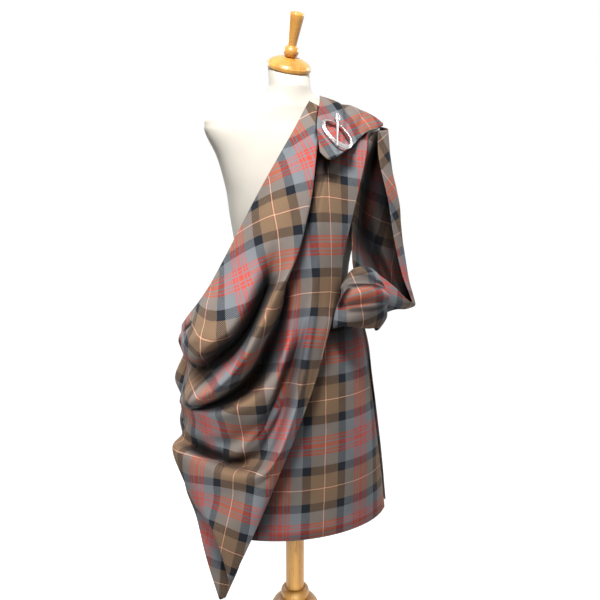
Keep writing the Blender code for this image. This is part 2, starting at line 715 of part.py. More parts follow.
def make_brooch():
    """The ring turned and drawn in to an oval, and the pin lying across it."""
    seat = face_frame(BROOCH_PLACE, BROOCH_OUT, BROOCH_LONG)
    drawn_in = Matrix.Diagonal((BROOCH_OVAL, 1.0, 1.0, 1.0))
    turned("brooch_ring", RING_PROFILE, silver, seat @ drawn_in, steps=32)
    seat = face_frame(BROOCH_PLACE, BROOCH_OUT, BROOCH_PIN_UP)
    height = RING_HEIGHT + GAP + PIN_HEAD - PIN_REST * math.sin(PIN_TILT) - PIN_LOWER
    above = Matrix.Translation((PIN_ASIDE, 0.0, height))
    along = Matrix.Rotation(PIN_TILT - math.pi / 2, 4, "X")
    turned("brooch_pin", PIN_PROFILE, silver, seat @ above @ along, steps=10)


def stand_on_origin():
    """Moves the whole part so that the middle of its footprint is the origin."""
    bpy.context.view_layer.update()
    graph = bpy.context.evaluated_depsgraph_get()
    low = np.full(3, np.inf)
    high = np.full(3, -np.inf)
    for piece in collection.objects:
        if piece == root:
            continue
        shape = piece.evaluated_get(graph)
        mesh = shape.to_mesh()
        corners = np.array([shape.matrix_world @ vertex.co for vertex in mesh.vertices])
        shape.to_mesh_clear()
        low = np.minimum(low, corners.min(axis=0))
        high = np.maximum(high, corners.max(axis=0))
    middle = (low + high) / 2
    root.location = (-middle[0], -middle[1], -low[2])


clear_scene()
collection = bpy.data.collections.new("Kilt and plaid on a dress form")
bpy.context.scene.collection.children.link(collection)
root = bpy.data.objects.new("part", None)
collection.objects.link(root)

tartan = look("tartan wool", (0.24, 0.17, 0.15), 0.85)
cream_jersey = look("cream jersey", (0.86, 0.82, 0.74), 0.80)
beech = look("beech", (0.72, 0.46, 0.20), 0.40)
silver = look("silver", (0.78, 0.78, 0.80), 0.30, 1.0)

form = make_form()
make_neck_block()
make_stand()
make_kilt()
make_waistband()
make_plaid(form)
make_brooch()
stand_on_origin()
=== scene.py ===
"""The looks of a tartan kilt and pinned plaid on a dress form.

Every cloth piece is a grid of points, worked out with numpy: rows run across the folds and columns
along them, or round the body and down it. The plaid's folds are the lines that its solids are made
from, drawn finer. Each cloth carries its own flat pattern as a UV map, in repeats of the check, so
the check turns and closes up in the folds as woven cloth does.
"""
import math

import bpy
import numpy as np
from mathutils import Matrix, Vector
from mathutils.bvhtree import BVHTree


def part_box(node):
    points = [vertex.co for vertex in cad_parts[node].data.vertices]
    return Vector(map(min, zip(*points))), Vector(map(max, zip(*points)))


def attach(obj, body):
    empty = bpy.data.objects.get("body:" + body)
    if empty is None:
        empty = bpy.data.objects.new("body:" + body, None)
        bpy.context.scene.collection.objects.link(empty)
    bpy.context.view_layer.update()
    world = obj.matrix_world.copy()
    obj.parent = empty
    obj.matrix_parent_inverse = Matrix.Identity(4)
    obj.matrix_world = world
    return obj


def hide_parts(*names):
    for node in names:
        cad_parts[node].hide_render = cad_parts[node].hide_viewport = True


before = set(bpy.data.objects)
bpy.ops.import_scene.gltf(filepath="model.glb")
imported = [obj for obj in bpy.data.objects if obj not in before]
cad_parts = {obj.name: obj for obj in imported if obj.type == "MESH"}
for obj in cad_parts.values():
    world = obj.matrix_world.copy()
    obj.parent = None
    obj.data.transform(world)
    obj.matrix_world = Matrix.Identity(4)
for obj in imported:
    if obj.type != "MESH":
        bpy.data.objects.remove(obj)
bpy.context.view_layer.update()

MM = 0.001
REPEAT = 0.19
PLAID_WALL = 0.0018
KILT_WALL = 0.0012
BAND_WALL = 0.0016

pole_low, pole_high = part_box("stand_pole")
FOOT = np.array([(pole_low.x + pole_high.x) / 2, (pole_low.y + pole_high.y) / 2, 0.0])
"""The foot of the pole: the fold tables and the sections are measured from here."""


# ---- grids and curves ----

def smooth_through(points, samples, axis):
    """A centripetal Catmull-Rom curve through the points along one axis: between two points it is the
    cubic that leaves each along the weighted mean of its neighbouring steps."""
    points = np.moveaxis(np.asarray(points, float), axis, 0)
    steps = np.linalg.norm(np.diff(points, axis=0), axis=-1)
    steps = steps.reshape(len(steps), -1).mean(axis=1)
    gaps = np.sqrt(np.maximum(steps, 1e-6))
    knots = np.concatenate(([0.0], np.cumsum(gaps)))
    column = (-1,) + (1,) * (points.ndim - 1)
    wide = gaps.reshape(column)
    slopes = np.diff(points, axis=0) / wide
    tangents = np.empty_like(points)
    tangents[0] = slopes[0]
    tangents[-1] = slopes[-1]
    tangents[1:-1] = (slopes[:-1] * wide[1:] + slopes[1:] * wide[:-1]) / (wide[:-1] + wide[1:])
    at = np.linspace(0.0, knots[-1], samples)
    span = np.clip(np.searchsorted(knots, at, side="right") - 1, 0, len(gaps) - 1)
    t = ((at - knots[span]) / gaps[span]).reshape(column)
    width = gaps[span].reshape(column)
    curve = (2 * t**3 - 3 * t**2 + 1) * points[span] + (t**3 - 2 * t**2 + t) * width * tangents[span]
    curve += (3 * t**2 - 2 * t**3) * points[span + 1] + (t**3 - t**2) * width * tangents[span + 1]
    return np.moveaxis(curve, 0, axis)


def finer(grid, times):
    """The grid with its cells cut into this many each way: a uniform Catmull-Rom surface through all
    of its points, so the drape keeps its shape and loses its corners."""
    for axis in (0, 1):
        lines = np.moveaxis(grid, axis, 0)
        padded = np.concatenate([2 * lines[:1] - lines[1:2], lines, 2 * lines[-1:] - lines[-2:-1]])
        t = (np.arange(times) / times).reshape(1, -1, *([1] * (lines.ndim - 1)))
        a, b, c, d = (padded[k:len(lines) - 1 + k][:, None] for k in range(4))
        parts = 2 * b + (c - a) * t + (2 * a - 5 * b + 4 * c - d) * t**2 + (3 * b - a - 3 * c + d) * t**3
        parts = 0.5 * parts.reshape(-1, *lines.shape[1:])
        grid = np.moveaxis(np.concatenate([parts, lines[-1:]]), 0, axis)
    return grid


def grid_faces(rows, columns, closed=False):
    """Quads over a grid, as an array of corner numbers; closed joins the last column to the first."""
    low = np.arange(rows - 1)[:, None] * columns
    here = np.arange(columns if closed else columns - 1)[None, :]
    after = (here + 1) % columns
    quads = np.stack([low + here, low + after, low + columns + after, low + columns + here], axis=-1)
    return quads.reshape(-1, 4)


def normals_of(grid):
    """The unit normal at each point: the cross product of the steps along and across the grid."""
    normal = np.cross(np.gradient(grid, axis=1), np.gradient(grid, axis=0))
    return normal / np.maximum(np.linalg.norm(normal, axis=-1, keepdims=True), 1e-9)


def new_mesh(name, points, faces, material, uv=None, smooth=True):
    """A mesh object at the origin, riding on the part's one body. uv holds one pair for each point."""
    mesh = bpy.data.meshes.new(name)
    faces = [tuple(int(k) for k in face) for face in faces]
    mesh.from_pydata(np.asarray(points, float).reshape(-1, 3).tolist(), [], faces)
    if smooth:
        mesh.shade_smooth()
    if uv is not None:
        corner = np.empty(len(mesh.loops), np.int32)
        mesh.loops.foreach_get("vertex_index", corner)
        layer = mesh.uv_layers.new(name="UVMap")
        layer.data.foreach_set("uv", np.asarray(uv, np.float32).reshape(-1, 2)[corner].ravel())
    made = bpy.data.objects.new(name, mesh)
    mesh.materials.append(material)
    bpy.context.scene.collection.objects.link(made)
    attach(made, "root")
    return made


def new_piece(name, points, faces, material, uv=None):
    """A mesh that is shown in place of the solid of the same name; its points are from the pole's foot."""
    piece = new_mesh(name, points + FOOT, faces, material, uv)
    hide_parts(name)
    return piece


def walled(grid, wall):
    """A sheet's two faces and its edge, as points and faces: the grid moved half the wall each way along
    its normals, and a strip round the border."""
    rows, columns = grid.shape[:2]
    half = normals_of(grid) * (wall / 2)
    points = np.stack([grid + half, grid - half])
    numbers = np.arange(rows * columns).reshape(rows, columns)
    border = np.concatenate([numbers[0, :-1], numbers[:-1, -1], numbers[-1, :0:-1], numbers[:0:-1, 0]])
    after = np.roll(border, -1)
    one_face = grid_faces(rows, columns)
    other = border + rows * columns
    strip = np.stack([after, border, other, after + rows * columns], axis=-1)
    return points, np.concatenate([one_face, one_face[:, ::-1] + rows * columns, strip])


def set_open(piece, values):
    """Keeps how open each point is to the light, from 0 to 1, for the painted shade in the wool's colour.
    """
    layer = piece.data.attributes.new("open", "FLOAT", "POINT")
    layer.data.foreach_set("value", np.clip(values, 0.0, 1.0).astype(np.float32).ravel())


def solidify(piece, wall):
    """Gives a sheet its wall, half to each side."""
    thick = piece.modifiers.new("Wall", "SOLIDIFY")
    thick.thickness = wall
    thick.offset = 0.0
    thick.use_even_offset = True
    thick.thickness_clamp = 1.0


# ---- finishes ----

def node(tree, kind, inputs=None, **settings):
    """Adds a shader node. An input is a value, or another node's output to link."""
    made = tree.nodes.new(kind)
    for name, value in settings.items():
        setattr(made, name, value)
    for key, value in (inputs or {}).items():
        if isinstance(value, bpy.types.NodeSocket):
            tree.links.new(value, made.inputs[key])
        else:
            made.inputs[key].default_value = value
    return made


def finish(name, **values):
    """A Principled material; values are set on the shader's own sockets."""
    material = bpy.data.materials.new(name)
    material.use_nodes = True
    shader = material.node_tree.nodes["Principled BSDF"]
    for key, value in values.items():
        shader.inputs[key.replace("_", " ")].default_value = value
    return material, material.node_tree, shader


def math_node(tree, operation, *values):
    """The result of a sum on numbers or outputs."""
    return node(tree, "ShaderNodeMath", dict(enumerate(values)), operation=operation).outputs[0]


def bands(tree, at, stops, smooth=False):
    """A ramp: each stop is (place, colour), and without smoothing each colour runs up to the next."""
    ramp = node(tree, "ShaderNodeValToRGB", {"Fac": at})
    ramp.color_ramp.interpolation = "LINEAR" if smooth else "CONSTANT"
    elements = ramp.color_ramp.elements
    while len(elements) > 1:
        elements.remove(elements[-1])
    elements[0].position = stops[0][0]
    elements[0].color = (*stops[0][1], 1)
    for place, colour in stops[1:]:
        elements.new(place).color = (*colour, 1)
    return ramp.outputs["Color"]


def mixed(tree, share, one, other, blend="MIX"):
    """Two colours mixed, or blended another way, by the share of the second."""
    made = node(tree, "ShaderNodeMix", data_type="RGBA", blend_type=blend)
    for socket, value in zip((made.inputs[0], made.inputs[6], made.inputs[7]), (share, one, other)):
        if isinstance(value, bpy.types.NodeSocket):
            tree.links.new(value, socket)
        else:
            socket.default_value = value
    return made.outputs[2]


def noise(tree, place, scale, detail, distortion=0.0, output="Fac"):
    """Noise at a place, from 0 to 1."""
    settings = {"Vector": place, "Scale": scale, "Detail": detail, "Distortion": distortion}
    return node(tree, "ShaderNodeTexNoise", settings).outputs[output]


def stretched(tree, place, *scale):
    """A place with its three ways scaled."""
    return node(tree, "ShaderNodeMapping", {"Vector": place, "Scale": scale}).outputs[0]


def object_place(tree):
    """The place on the object, in metres."""
    return node(tree, "ShaderNodeTexCoord").outputs["Object"]


def emboss(tree, shader, height, strength, distance):
    """Gives the shader a bump of this height."""
    bump = node(tree, "ShaderNodeBump", {"Height": height, "Strength": strength, "Distance": distance})
    tree.links.new(bump.outputs[0], shader.inputs["Normal"])


BROWN = (0.235, 0.150, 0.090)
CHARCOAL = (0.013, 0.016, 0.022)
SLATE = (0.205, 0.222, 0.238)
RED = (0.580, 0.085, 0.060)
DULL_RED = (0.330, 0.070, 0.050)
CREAM = (0.740, 0.600, 0.370)

# The check's half repeat, from the cream line's middle to the middle of the red group.
SETT = (
    (0.000, CREAM), (0.009, DULL_RED), (0.030, BROWN), (0.325, CHARCOAL), (0.520, SLATE),
    (0.788, RED), (0.834, SLATE), (0.860, RED), (0.904, SLATE), (0.948, RED),
)
THREADS = 232
"""Threads in one repeat, woven two over and two under."""
THREAD_SLACK = 0.012
"""How far the stripes wander from their line, in repeats."""
WOOL_TONE = 0.47
FLECK_TONE = 0.55
CLOUD_TONE = 0.36
"""The wool's darkest tone, and what its flecks and its soft clouds add at their lightest."""
FUZZ = 0.7
"""How high the flecks stand, against a thread."""

FOLD_SHADES = (
    (0.10, (0.03, 0.03, 0.03)), (0.34, (0.11, 0.10, 0.11)), (0.58, (0.40, 0.37, 0.38)),
    (0.76, (0.80, 0.78, 0.79)), (0.90, (1.0, 1.0, 1.0)),
)
# The painted shade in the wool's colour, by how open it is to the light: (how open, tone).
"""The wool's colour by how open it is to the light: (how open, tone)."""


def fold_shade(tree):
    """Painted shade: the wool's colour deepens where folds shut the light out."""
    is_open = node(tree, "ShaderNodeAttribute", attribute_name="open").outputs["Fac"]
    return bands(tree, is_open, FOLD_SHADES, True)


def threads(tree, line):
    """One set of threads, counted along a line of the check: their colours, each thread's number, and how
    high it stands, from 0 between two threads to 1 on its middle."""
    folded = math_node(tree, "MULTIPLY", math_node(tree, "PINGPONG", line, 0.5), 2.0)
    count = math_node(tree, "MULTIPLY", line, float(THREADS))
    height = math_node(tree, "MULTIPLY", math_node(tree, "PINGPONG", count, 0.5), 2.0)
    return bands(tree, folded, SETT), math_node(tree, "FLOOR", count), height


def make_tartan():
    """Wool twill: warp and weft each carry the same run of colours, and each shows where it lies on top,
    two threads over and two under, one step along in each row."""
    material, tree, shader = finish("tartan", Roughness=0.88, Specular_IOR_Level=0.14, Sheen_Weight=0.05)
    straight = node(tree, "ShaderNodeUVMap", uv_map="UVMap").outputs["UV"]
    slack = {0: noise(tree, straight, scale=5.0, detail=2.0, output="Color"), 1: (0.5, 0.5, 0.5)}
    slack = node(tree, "ShaderNodeVectorMath", slack, operation="SUBTRACT").outputs[0]
    place = {0: slack, 1: (THREAD_SLACK, THREAD_SLACK, 0.0), 2: straight}
    place = node(tree, "ShaderNodeVectorMath", place, operation="MULTIPLY_ADD").outputs[0]
    split = node(tree, "ShaderNodeSeparateXYZ", {0: place})
    warp, warp_number, warp_height = threads(tree, split.outputs["X"])
    weft, weft_number, weft_height = threads(tree, split.outputs["Y"])
    step = math_node(tree, "FLOORED_MODULO", math_node(tree, "ADD", warp_number, weft_number), 4.0)
    warp_on_top = math_node(tree, "LESS_THAN", step, 2.0)
    fleck = noise(tree, place, scale=170.0, detail=3.0)
    cloud = noise(tree, place, scale=2.4, detail=3.0)
    tone = math_node(tree, "MULTIPLY_ADD", fleck, FLECK_TONE, WOOL_TONE)
    tone = math_node(tree, "MULTIPLY_ADD", cloud, CLOUD_TONE, tone)
    wool = mixed(tree, 1.0, mixed(tree, warp_on_top, weft, warp), tone, "MULTIPLY")
    # painted shade: the check's colour is darkened where the folds shut out the light
    wool = mixed(tree, 1.0, wool, fold_shade(tree), "MULTIPLY")
    tree.links.new(wool, shader.inputs["Base Color"])
    height = node(tree, "ShaderNodeMix", {0: warp_on_top, 2: weft_height, 3: warp_height}).outputs[0]
    height = math_node(tree, "MULTIPLY_ADD", fleck, FUZZ, height)
    emboss(tree, shader, height, strength=0.35, distance=0.0003)
    return material


def make_jersey():
    """Cream jersey: fine knitted wales with a little slub."""
    material, tree, shader = finish("form_cover", Roughness=0.78, Sheen_Weight=0.15)
    place = object_place(tree)
    cream = ((0.3, (0.56, 0.52, 0.45)), (0.7, (0.62, 0.58, 0.51)))
    slub = noise(tree, place, scale=9.0, detail=4.0)
    tree.links.new(bands(tree, slub, cream, True), shader.inputs["Base Color"])
    knit = noise(tree, stretched(tree, place, 900.0, 900.0, 420.0), scale=1.0, detail=2.0)
    emboss(tree, shader, knit, strength=0.25, distance=0.0004)
    return material


def make_beech():
    """Honey-coloured beech under satin varnish: long grain, growth bands and short dark flecks."""
    material, tree, shader = finish("beech", Roughness=0.38, Coat_Weight=0.35, Coat_Roughness=0.22)
    place = object_place(tree)
    along = stretched(tree, place, 26.0, 26.0, 2.2)
    grain = noise(tree, along, scale=1.6, detail=7.0, distortion=0.6)
    honey = ((0.30, (0.44, 0.190, 0.026)), (0.48, (0.57, 0.270, 0.044)), (0.62, (0.65, 0.340, 0.066)))
    fleck = noise(tree, stretched(tree, place, 420.0, 420.0, 45.0), scale=1.0, detail=1.0)
    dark = ((0.60, (1.0, 1.0, 1.0)), (0.72, (0.72, 0.60, 0.48)))
    wood = mixed(tree, 1.0, bands(tree, grain, honey, True), bands(tree, fleck, dark, True), "MULTIPLY")
    tree.links.new(wood, shader.inputs["Base Color"])
    emboss(tree, shader, grain, strength=0.12, distance=0.0006)
    return material


def make_silver():
    """Cast silver, bright where it is rubbed and grey where polish does not reach."""
    material, tree, shader = finish("silver", Metallic=1.0)
    wear = noise(tree, object_place(tree), scale=160.0, detail=5.0)
    hollow = node(tree, "ShaderNodeNewGeometry").outputs["Pointiness"]
    rubbed = bands(tree, hollow, ((0.45, (0.20, 0.19, 0.19)), (0.505, (0.70, 0.68, 0.68))), True)
    grey = bands(tree, wear, ((0.35, (0.80, 0.79, 0.78)), (0.65, (1.0, 1.0, 1.0))), True)
    tree.links.new(mixed(tree, 1.0, rubbed, grey, "MULTIPLY"), shader.inputs["Base Color"])
    tree.links.new(math_node(tree, "MULTIPLY_ADD", wear, 0.22, 0.14), shader.inputs["Roughness"])
    return material


# ---- the plaid's folds ----

# Each row is one ridge, valley or edge of the cloth, and its columns are places along it as (x, y, z)
# in millimetres from the foot of the pole: x to the wearer's left, y to the back, z up.
# The front stretch, from the band's upper edge across to the free edge. Its columns are ridge of the
# shoulder, collarbone, breast, ribs, waist, hip, flank, swag, side and behind the side.
FRONT_FOLDS = {
    "edge": (
        (17, -53, 1432), (-20, -61, 1370), (-108, -81, 1227), (-156, -80, 1139), (-194, -66, 1066),
        (-217, -44, 1024), (-234, -16, 994), (-242, 12, 974), (-247, 50, 951), (-234, 98, 935),
    ),
    "crest": (
        (25, -53, 1428), (-4, -80, 1365), (-83, -120, 1224), (-134, -123, 1134), (-171, -123, 1061),
        (-203, -113, 1011), (-230, -85, 974), (-247, -44, 949), (-253, 21, 926), (-240, 90, 902),
    ),
    "lip": (
        (35, -52, 1424), (7, -94, 1360), (-57, -137, 1220), (-107, -146, 1128), (-132, -160, 1055),
        (-167, -160, 988), (-208, -138, 949), (-236, -83, 913), (-250, -6, 896), (-238, 79, 869),
    ),
    "hollow": (
        (44, -50, 1419), (15, -100, 1356), (-35, -144, 1218), (-79, -147, 1121), (-96, -114, 1042),
        (-128, -84, 963), (-173, -54, 909), (-205, -16, 871), (-233, 23, 862), (-225, 75, 850),
    ),
    "roll": (
        (56, -48, 1413), (23, -103, 1350), (-10, -145, 1218), (-43, -165, 1118), (-88, -175, 1046),
        (-124, -181, 982), (-164, -177, 913), (-210, -139, 855), (-252, -51, 807), (-257, 53, 778),
    ),
    "return": (
        (67, -47, 1410), (20, -93, 1349), (-13, -132, 1216), (-45, -150, 1114), (-73, -164, 1039),
        (-108, -171, 972), (-147, -160, 897), (-198, -122, 838), (-247, -46, 796), (-255, 52, 769),
    ),
    "tuck": (
        (78, -46, 1406), (17, -74, 1346), (-37, -113, 1211), (-64, -130, 1105), (-59, -125, 1022),
        (-88, -110, 939), (-122, -96, 862), (-177, -76, 813), (-236, -24, 781), (-253, 57, 757),
    ),
    "swell": (
        (84, -46, 1404), (28, -74, 1344), (-24, -115, 1211), (-48, -131, 1106), (-50, -138, 1019),
        (-75, -137, 927), (-118, -156, 852), (-181, -138, 812), (-234, -35, 777), (-250, 59, 747),
    ),
    "belly": (
        (90, -46, 1402), (39, -75, 1342), (-12, -117, 1213), (-32, -132, 1108), (-39, -142, 1018),
        (-66, -159, 922), (-111, -160, 811), (-179, -123, 770), (-231, -27, 754), (-248, 63, 731),
    ),
    "turn": (
        (96, -44, 1401), (49, -76, 1341), (-1, -120, 1215), (-17, -134, 1110), (-27, -146, 1018),
        (-51, -148, 914), (-110, -125, 757), (-181, -94, 726), (-240, -6, 724), (-248, 71, 713),
    ),
    "valley": (
        (102, -44, 1400), (59, -78, 1340), (11, -123, 1215), (-4, -137, 1112), (-16, -150, 1020),
        (-37, -143, 920), (-85, -100, 716), (-150, -71, 675), (-254, 21, 694), (-247, 81, 689),
    ),
    "ridge2": (
        (108, -43, 1398), (67, -80, 1339), (23, -126, 1217), (10, -140, 1116), (-2, -155, 1022),
        (-26, -178, 932), (-61, -184, 799), (-128, -172, 683), (-273, -15, 678), (-268, 77, 649),
    ),
    "tail_a": (
        (119, -40, 1395), (94, -68, 1339), (50, -116, 1219), (34, -133, 1116), (17, -147, 1022),
        (-6, -169, 943), (-41, -182, 809), (-119, -177, 660), (-240, -66, 590), (-228, 3, 559),
    ),
    "tail_b": (
        (131, -39, 1390), (119, -61, 1338), (77, -105, 1220), (57, -122, 1116), (40, -137, 1027),
        (13, -161, 954), (-32, -178, 811), (-119, -176, 615), (-209, -138, 546), (-199, -115, 541),
    ),
    "free": (
        (150, -39, 1382), (143, -64, 1338), (108, -93, 1224), (76, -111, 1117), (63, -127, 1042),
        (31, -151, 964), (-23, -176, 818), (-127, -172, 570), (-183, -161, 444), (-176, -144, 444),
    ),
}

# The stretch across the back, from its upper edge to its lower one. Its columns are shoulder, blade,
# spine, loin, flank, side and the end tucked inside the front stretch.
BACK_FOLDS = {
    "upper": (
        (70, 40, 1441), (35, 106, 1335), (-40, 120, 1195), (-128, 118, 1065), (-200, 118, 975),
        (-222, 98, 945), (-214, 40, 935),
    ),
    "high_ridge": (
        (88, 46, 1436), (62, 118, 1310), (-20, 140, 1165), (-125, 150, 1020), (-216, 145, 935),
        (-250, 112, 905), (-224, 45, 890),
    ),
    "high_dip": (
        (104, 44, 1431), (85, 108, 1290), (0, 126, 1130), (-115, 142, 975), (-210, 140, 890),
        (-240, 108, 868), (-218, 40, 855),
    ),
    "middle_ridge": (
        (120, 44, 1425), (106, 118, 1270), (20, 146, 1095), (-105, 176, 925), (-222, 160, 845),
        (-262, 106, 812), (-228, 36, 800),
    ),
    "low_dip": (
        (134, 40, 1419), (122, 106, 1255), (40, 132, 1060), (-90, 172, 875), (-212, 150, 790),
        (-246, 100, 765), (-226, 34, 755),
    ),
    "low_ridge": (
        (148, 36, 1412), (138, 110, 1240), (62, 146, 1020), (-75, 190, 810), (-210, 162, 735),
        (-254, 104, 712), (-232, 30, 705),
    ),
    "lower": (
        (160, 28, 1404), (150, 96, 1230), (82, 135, 985), (-58, 182, 760), (-192, 150, 690),
        (-244, 100, 668), (-228, 30, 660),
    ),
}

# The loop that hangs from the point of the shoulder like an open sleeve, from its front edge round
# to the body. Its columns are ridge, arm, breast, ribs, waist, corner, flap and tuck.
LOOP_FOLDS = {
    "edge": (
        (175, -44, 1376), (175, -52, 1318), (192, -68, 1229), (206, -75, 1142), (225, -85, 1059),
        (241, -100, 1005), (191, -109, 1046), (148, -109, 1078),
    ),
    "outline": (
        (204, -27, 1380), (210, -37, 1315), (228, -47, 1217), (240, -53, 1117), (251, -66, 1042),
        (256, -84, 994), (195, -116, 1019), (158, -120, 1038),
    ),
    "back": (
        (213, -1, 1386), (205, 6, 1310), (220, 12, 1211), (233, 8, 1112), (246, -13, 1039),
        (260, -52, 988), (201, -104, 994), (163, -109, 997),
    ),
    "ridge": (
        (205, 10, 1389), (185, 9, 1308), (192, 10, 1216), (211, 10, 1121), (233, -8, 1048),
        (243, -39, 987), (206, -78, 989), (165, -89, 975),
    ),
    "streak": (
        (192, -9, 1383), (171, -12, 1305), (171, 13, 1211), (194, 36, 1115), (222, 14, 1045),
        (229, -19, 991), (206, -49, 993), (172, -62, 981),
    ),
    "inner": (
        (162, -38, 1372), (128, -62, 1301), (103, -84, 1217), (104, -84, 1137), (106, -88, 1090),
        (117, -84, 1050), (127, -83, 1032), (137, -81, 1020),
    ),
}

# The wrap that ties the loop's end round the waist, from its top down and under. Its columns are
# tuck, front, belly, turn and end.
WRAP_FOLDS = {
    "top": (
        (61, -144, 1061), (82, -144, 1089), (114, -143, 1094), (142, -134, 1079), (147, -123, 1069),
    ),
    "flap": (
        (56, -151, 1054), (74, -161, 1079), (107, -166, 1083), (145, -154, 1065), (156, -140, 1054),
    ),
    "twist": (
        (57, -150, 1041), (72, -162, 1057), (108, -164, 1064), (150, -149, 1049), (158, -137, 1041),
    ),
    "belly": (
        (52, -152, 1027), (68, -178, 1039), (106, -184, 1049), (157, -164, 1035), (166, -150, 1025),
    ),
    "crease": (
        (46, -152, 1011), (72, -169, 1017), (111, -175, 1022), (154, -157, 1015), (163, -142, 1005),
    ),
    "roll": (
        (42, -151, 992), (68, -175, 1000), (105, -180, 1003), (155, -157, 995), (162, -144, 986),
    ),
    "bottom": (
        (42, -144, 970), (66, -163, 978), (103, -163, 974), (145, -139, 965), (149, -128, 955),
    ),
    "under": (
        (63, -103, 971), (92, -99, 977), (127, -97, 972), (152, -100, 965), (151, -95, 959),
    ),
}

# The hanging end behind the front stretch. Its columns are hip, thigh, knee, shin and point.
TAIL_FOLDS = {
    "outer": (
        (-256, 73, 604), (-250, 25, 566), (-237, -24, 534), (-224, -81, 463), (-202, -114, 379),
    ),
    "middle": (
        (-208, -46, 646), (-204, -71, 600), (-201, -88, 553), (-199, -107, 474), (-199, -117, 378),
    ),
    "inner": (
        (-151, -98, 648), (-147, -120, 612), (-150, -130, 558), (-156, -132, 473), (-189, -123, 385),
    ),
}

# The piece over the shoulder with its pinned corner, from the neck to the shoulder's point. Its
# columns are behind, ridge, upper, middle and lower.
SHOULDER_FOLDS = {
    "neck": (
        (70, 32, 1433), (50, -8, 1440), (33, -55, 1414), (19, -103, 1368), (16, -132, 1325),
    ),
    "fold": (
        (94, 33, 1430), (77, -12, 1432), (60, -48, 1399), (42, -104, 1354), (33, -136, 1310),
    ),
    "pin": (
        (122, 34, 1423), (103, -9, 1423), (88, -38, 1391), (67, -92, 1348), (56, -124, 1318),
    ),
    "outer": (
        (160, 31, 1412), (140, -9, 1414), (124, -27, 1388), (104, -63, 1360), (87, -100, 1334),
    ),
    "tip": (
        (215, 22, 1393), (199, -9, 1394), (180, -21, 1380), (139, -44, 1367), (107, -81, 1345),
    ),
}

# How far each cloth's middle keeps from what lies under it.
OVER_FORM = 0.0043
OVER_KILT = 0.0052
OVER_CLOTH = 0.0035
LOOP_ON_FORM = 0.0026
OVER_TAIL = 0.0026
TAIL_ON_KILT = 0.0021
WRAP_ON_KILT = 0.0009
WRAP_ON_LOOP = 0.0026
SHOULDER_ON_BACK = 0.0045

FAR_UNDER = 0.060
NEAR_UNDER = 0.012
"""How deep a point may lie inside the body, or inside a cloth, and still be brought out of it."""
BENEATH = 0.85
"""The least share of its distance that a point under a surface lies straight below it."""
CORE_TOP = 1.300
"""Higher than this, outwards is away from the core's top, and lower down it is away from its axis."""
LIFT_PASSES = 9


def skin(folds, across, along):
    """A smooth cloth surface through the fold lines: rows across the folds, columns along them."""
    lines = np.array(list(folds.values()), float) * MM
    return smooth_through(smooth_through(lines, along, 1), across, 0)


def tree_of(grid, closed=False):
    """A search tree over a grid of points."""
    rows, columns = grid.shape[:2]
    return BVHTree.FromPolygons(grid.reshape(-1, 3).tolist(), grid_faces(rows, columns, closed).tolist())


def node_tree(*names):
    """A search tree over solids of the frame, measured from the foot of the pole."""
    corners = []
    faces = []
    for name in names:
        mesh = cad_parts[name].data
        first = len(corners)
        corners += [vertex.co - Vector(FOOT) for vertex in mesh.vertices]
        faces += [tuple(first + k for k in face.vertices) for face in mesh.polygons]
    return BVHTree.FromPolygons(corners, faces)


def lifted(start, under):
    """How far a point of cloth has to move to clear each (tree, clearance, reach) under it. Outwards is
    the side away from the body's core, and a point past a surface's edge stays where it is."""
    point = Vector(start)
    for tree, clearance, reach in under:
        place, normal, _, distance = tree.find_nearest(point)
        core = Vector((0.0, 0.0, min(place.z, CORE_TOP)))
        if normal.dot(place - core) < 0:
            normal.negate()
        height = (point - place).dot(normal)
        if height < 0 and distance < reach and -height > BENEATH * distance:
            point = place + normal * clearance
        elif height >= 0 and distance < clearance:
            point += (point - place).normalized() * (clearance - distance)
    return point - Vector(start)


def halved(grid, axis):
    """The grid with a new line half way between each two."""
    grid = np.moveaxis(grid, axis, 0)
    more = np.empty((2 * len(grid) - 1, *grid.shape[1:]))
    more[::2] = grid
    more[1::2] = (grid[:-1] + grid[1:]) / 2
    return np.moveaxis(more, 0, axis)


def lift_off(grid, under):
    """Moves a cloth outwards until its corners, edges and middles clear what is under it: each point
    takes the longest of the moves that the places round it need."""
    grid = np.array(grid)
    rows, columns = grid.shape[:2]
    for _ in range(LIFT_PASSES):
        between = halved(halved(grid, 0), 1)
        moves = np.array([lifted(point, under) for point in between.reshape(-1, 3)])
        moves = np.pad(moves.reshape(between.shape), ((1, 1), (1, 1), (0, 0)))
        longest = np.zeros_like(grid)
        for down in range(3):
            for across in range(3):
                near = moves[down:down + 2 * rows - 1:2, across:across + 2 * columns - 1:2]
                longer = np.linalg.norm(near, axis=-1) > np.linalg.norm(longest, axis=-1)
                longest[longer] = near[longer]
        grid += longest
    return grid


# ---- flat patterns ----

FLAT_ROUNDS = 60
MARK_HOLD = 2.0
"""How firmly a mark holds the pattern, against the weight of the cloth's edges."""
EDGE_WEIGHTS = (0.05, 5.0)
"""The least and the greatest weight of an edge."""
CELL_STEPS = 8
"""How many places a cell is cut into each way to find the one nearest to a mark."""


def nearest_cell(grid, place):
    """The grid place nearest to a point in space, as four corner numbers and their shares."""
    fine = finer(grid, CELL_STEPS)
    row, column = np.unravel_index(np.argmin(np.sum((fine - place) ** 2, axis=-1)), fine.shape[:2])
    rows, columns = grid.shape[:2]
    low_row = min(row // CELL_STEPS, rows - 2)
    low_column = min(column // CELL_STEPS, columns - 2)
    down = row / CELL_STEPS - low_row
    over = column / CELL_STEPS - low_column
    corners = [(low_row + a) * columns + low_column + b for a in (0, 1) for b in (0, 1)]
    shares = [(1 - down) * (1 - over), (1 - down) * over, down * (1 - over), down * over]
    return np.array(corners), np.array(shares)


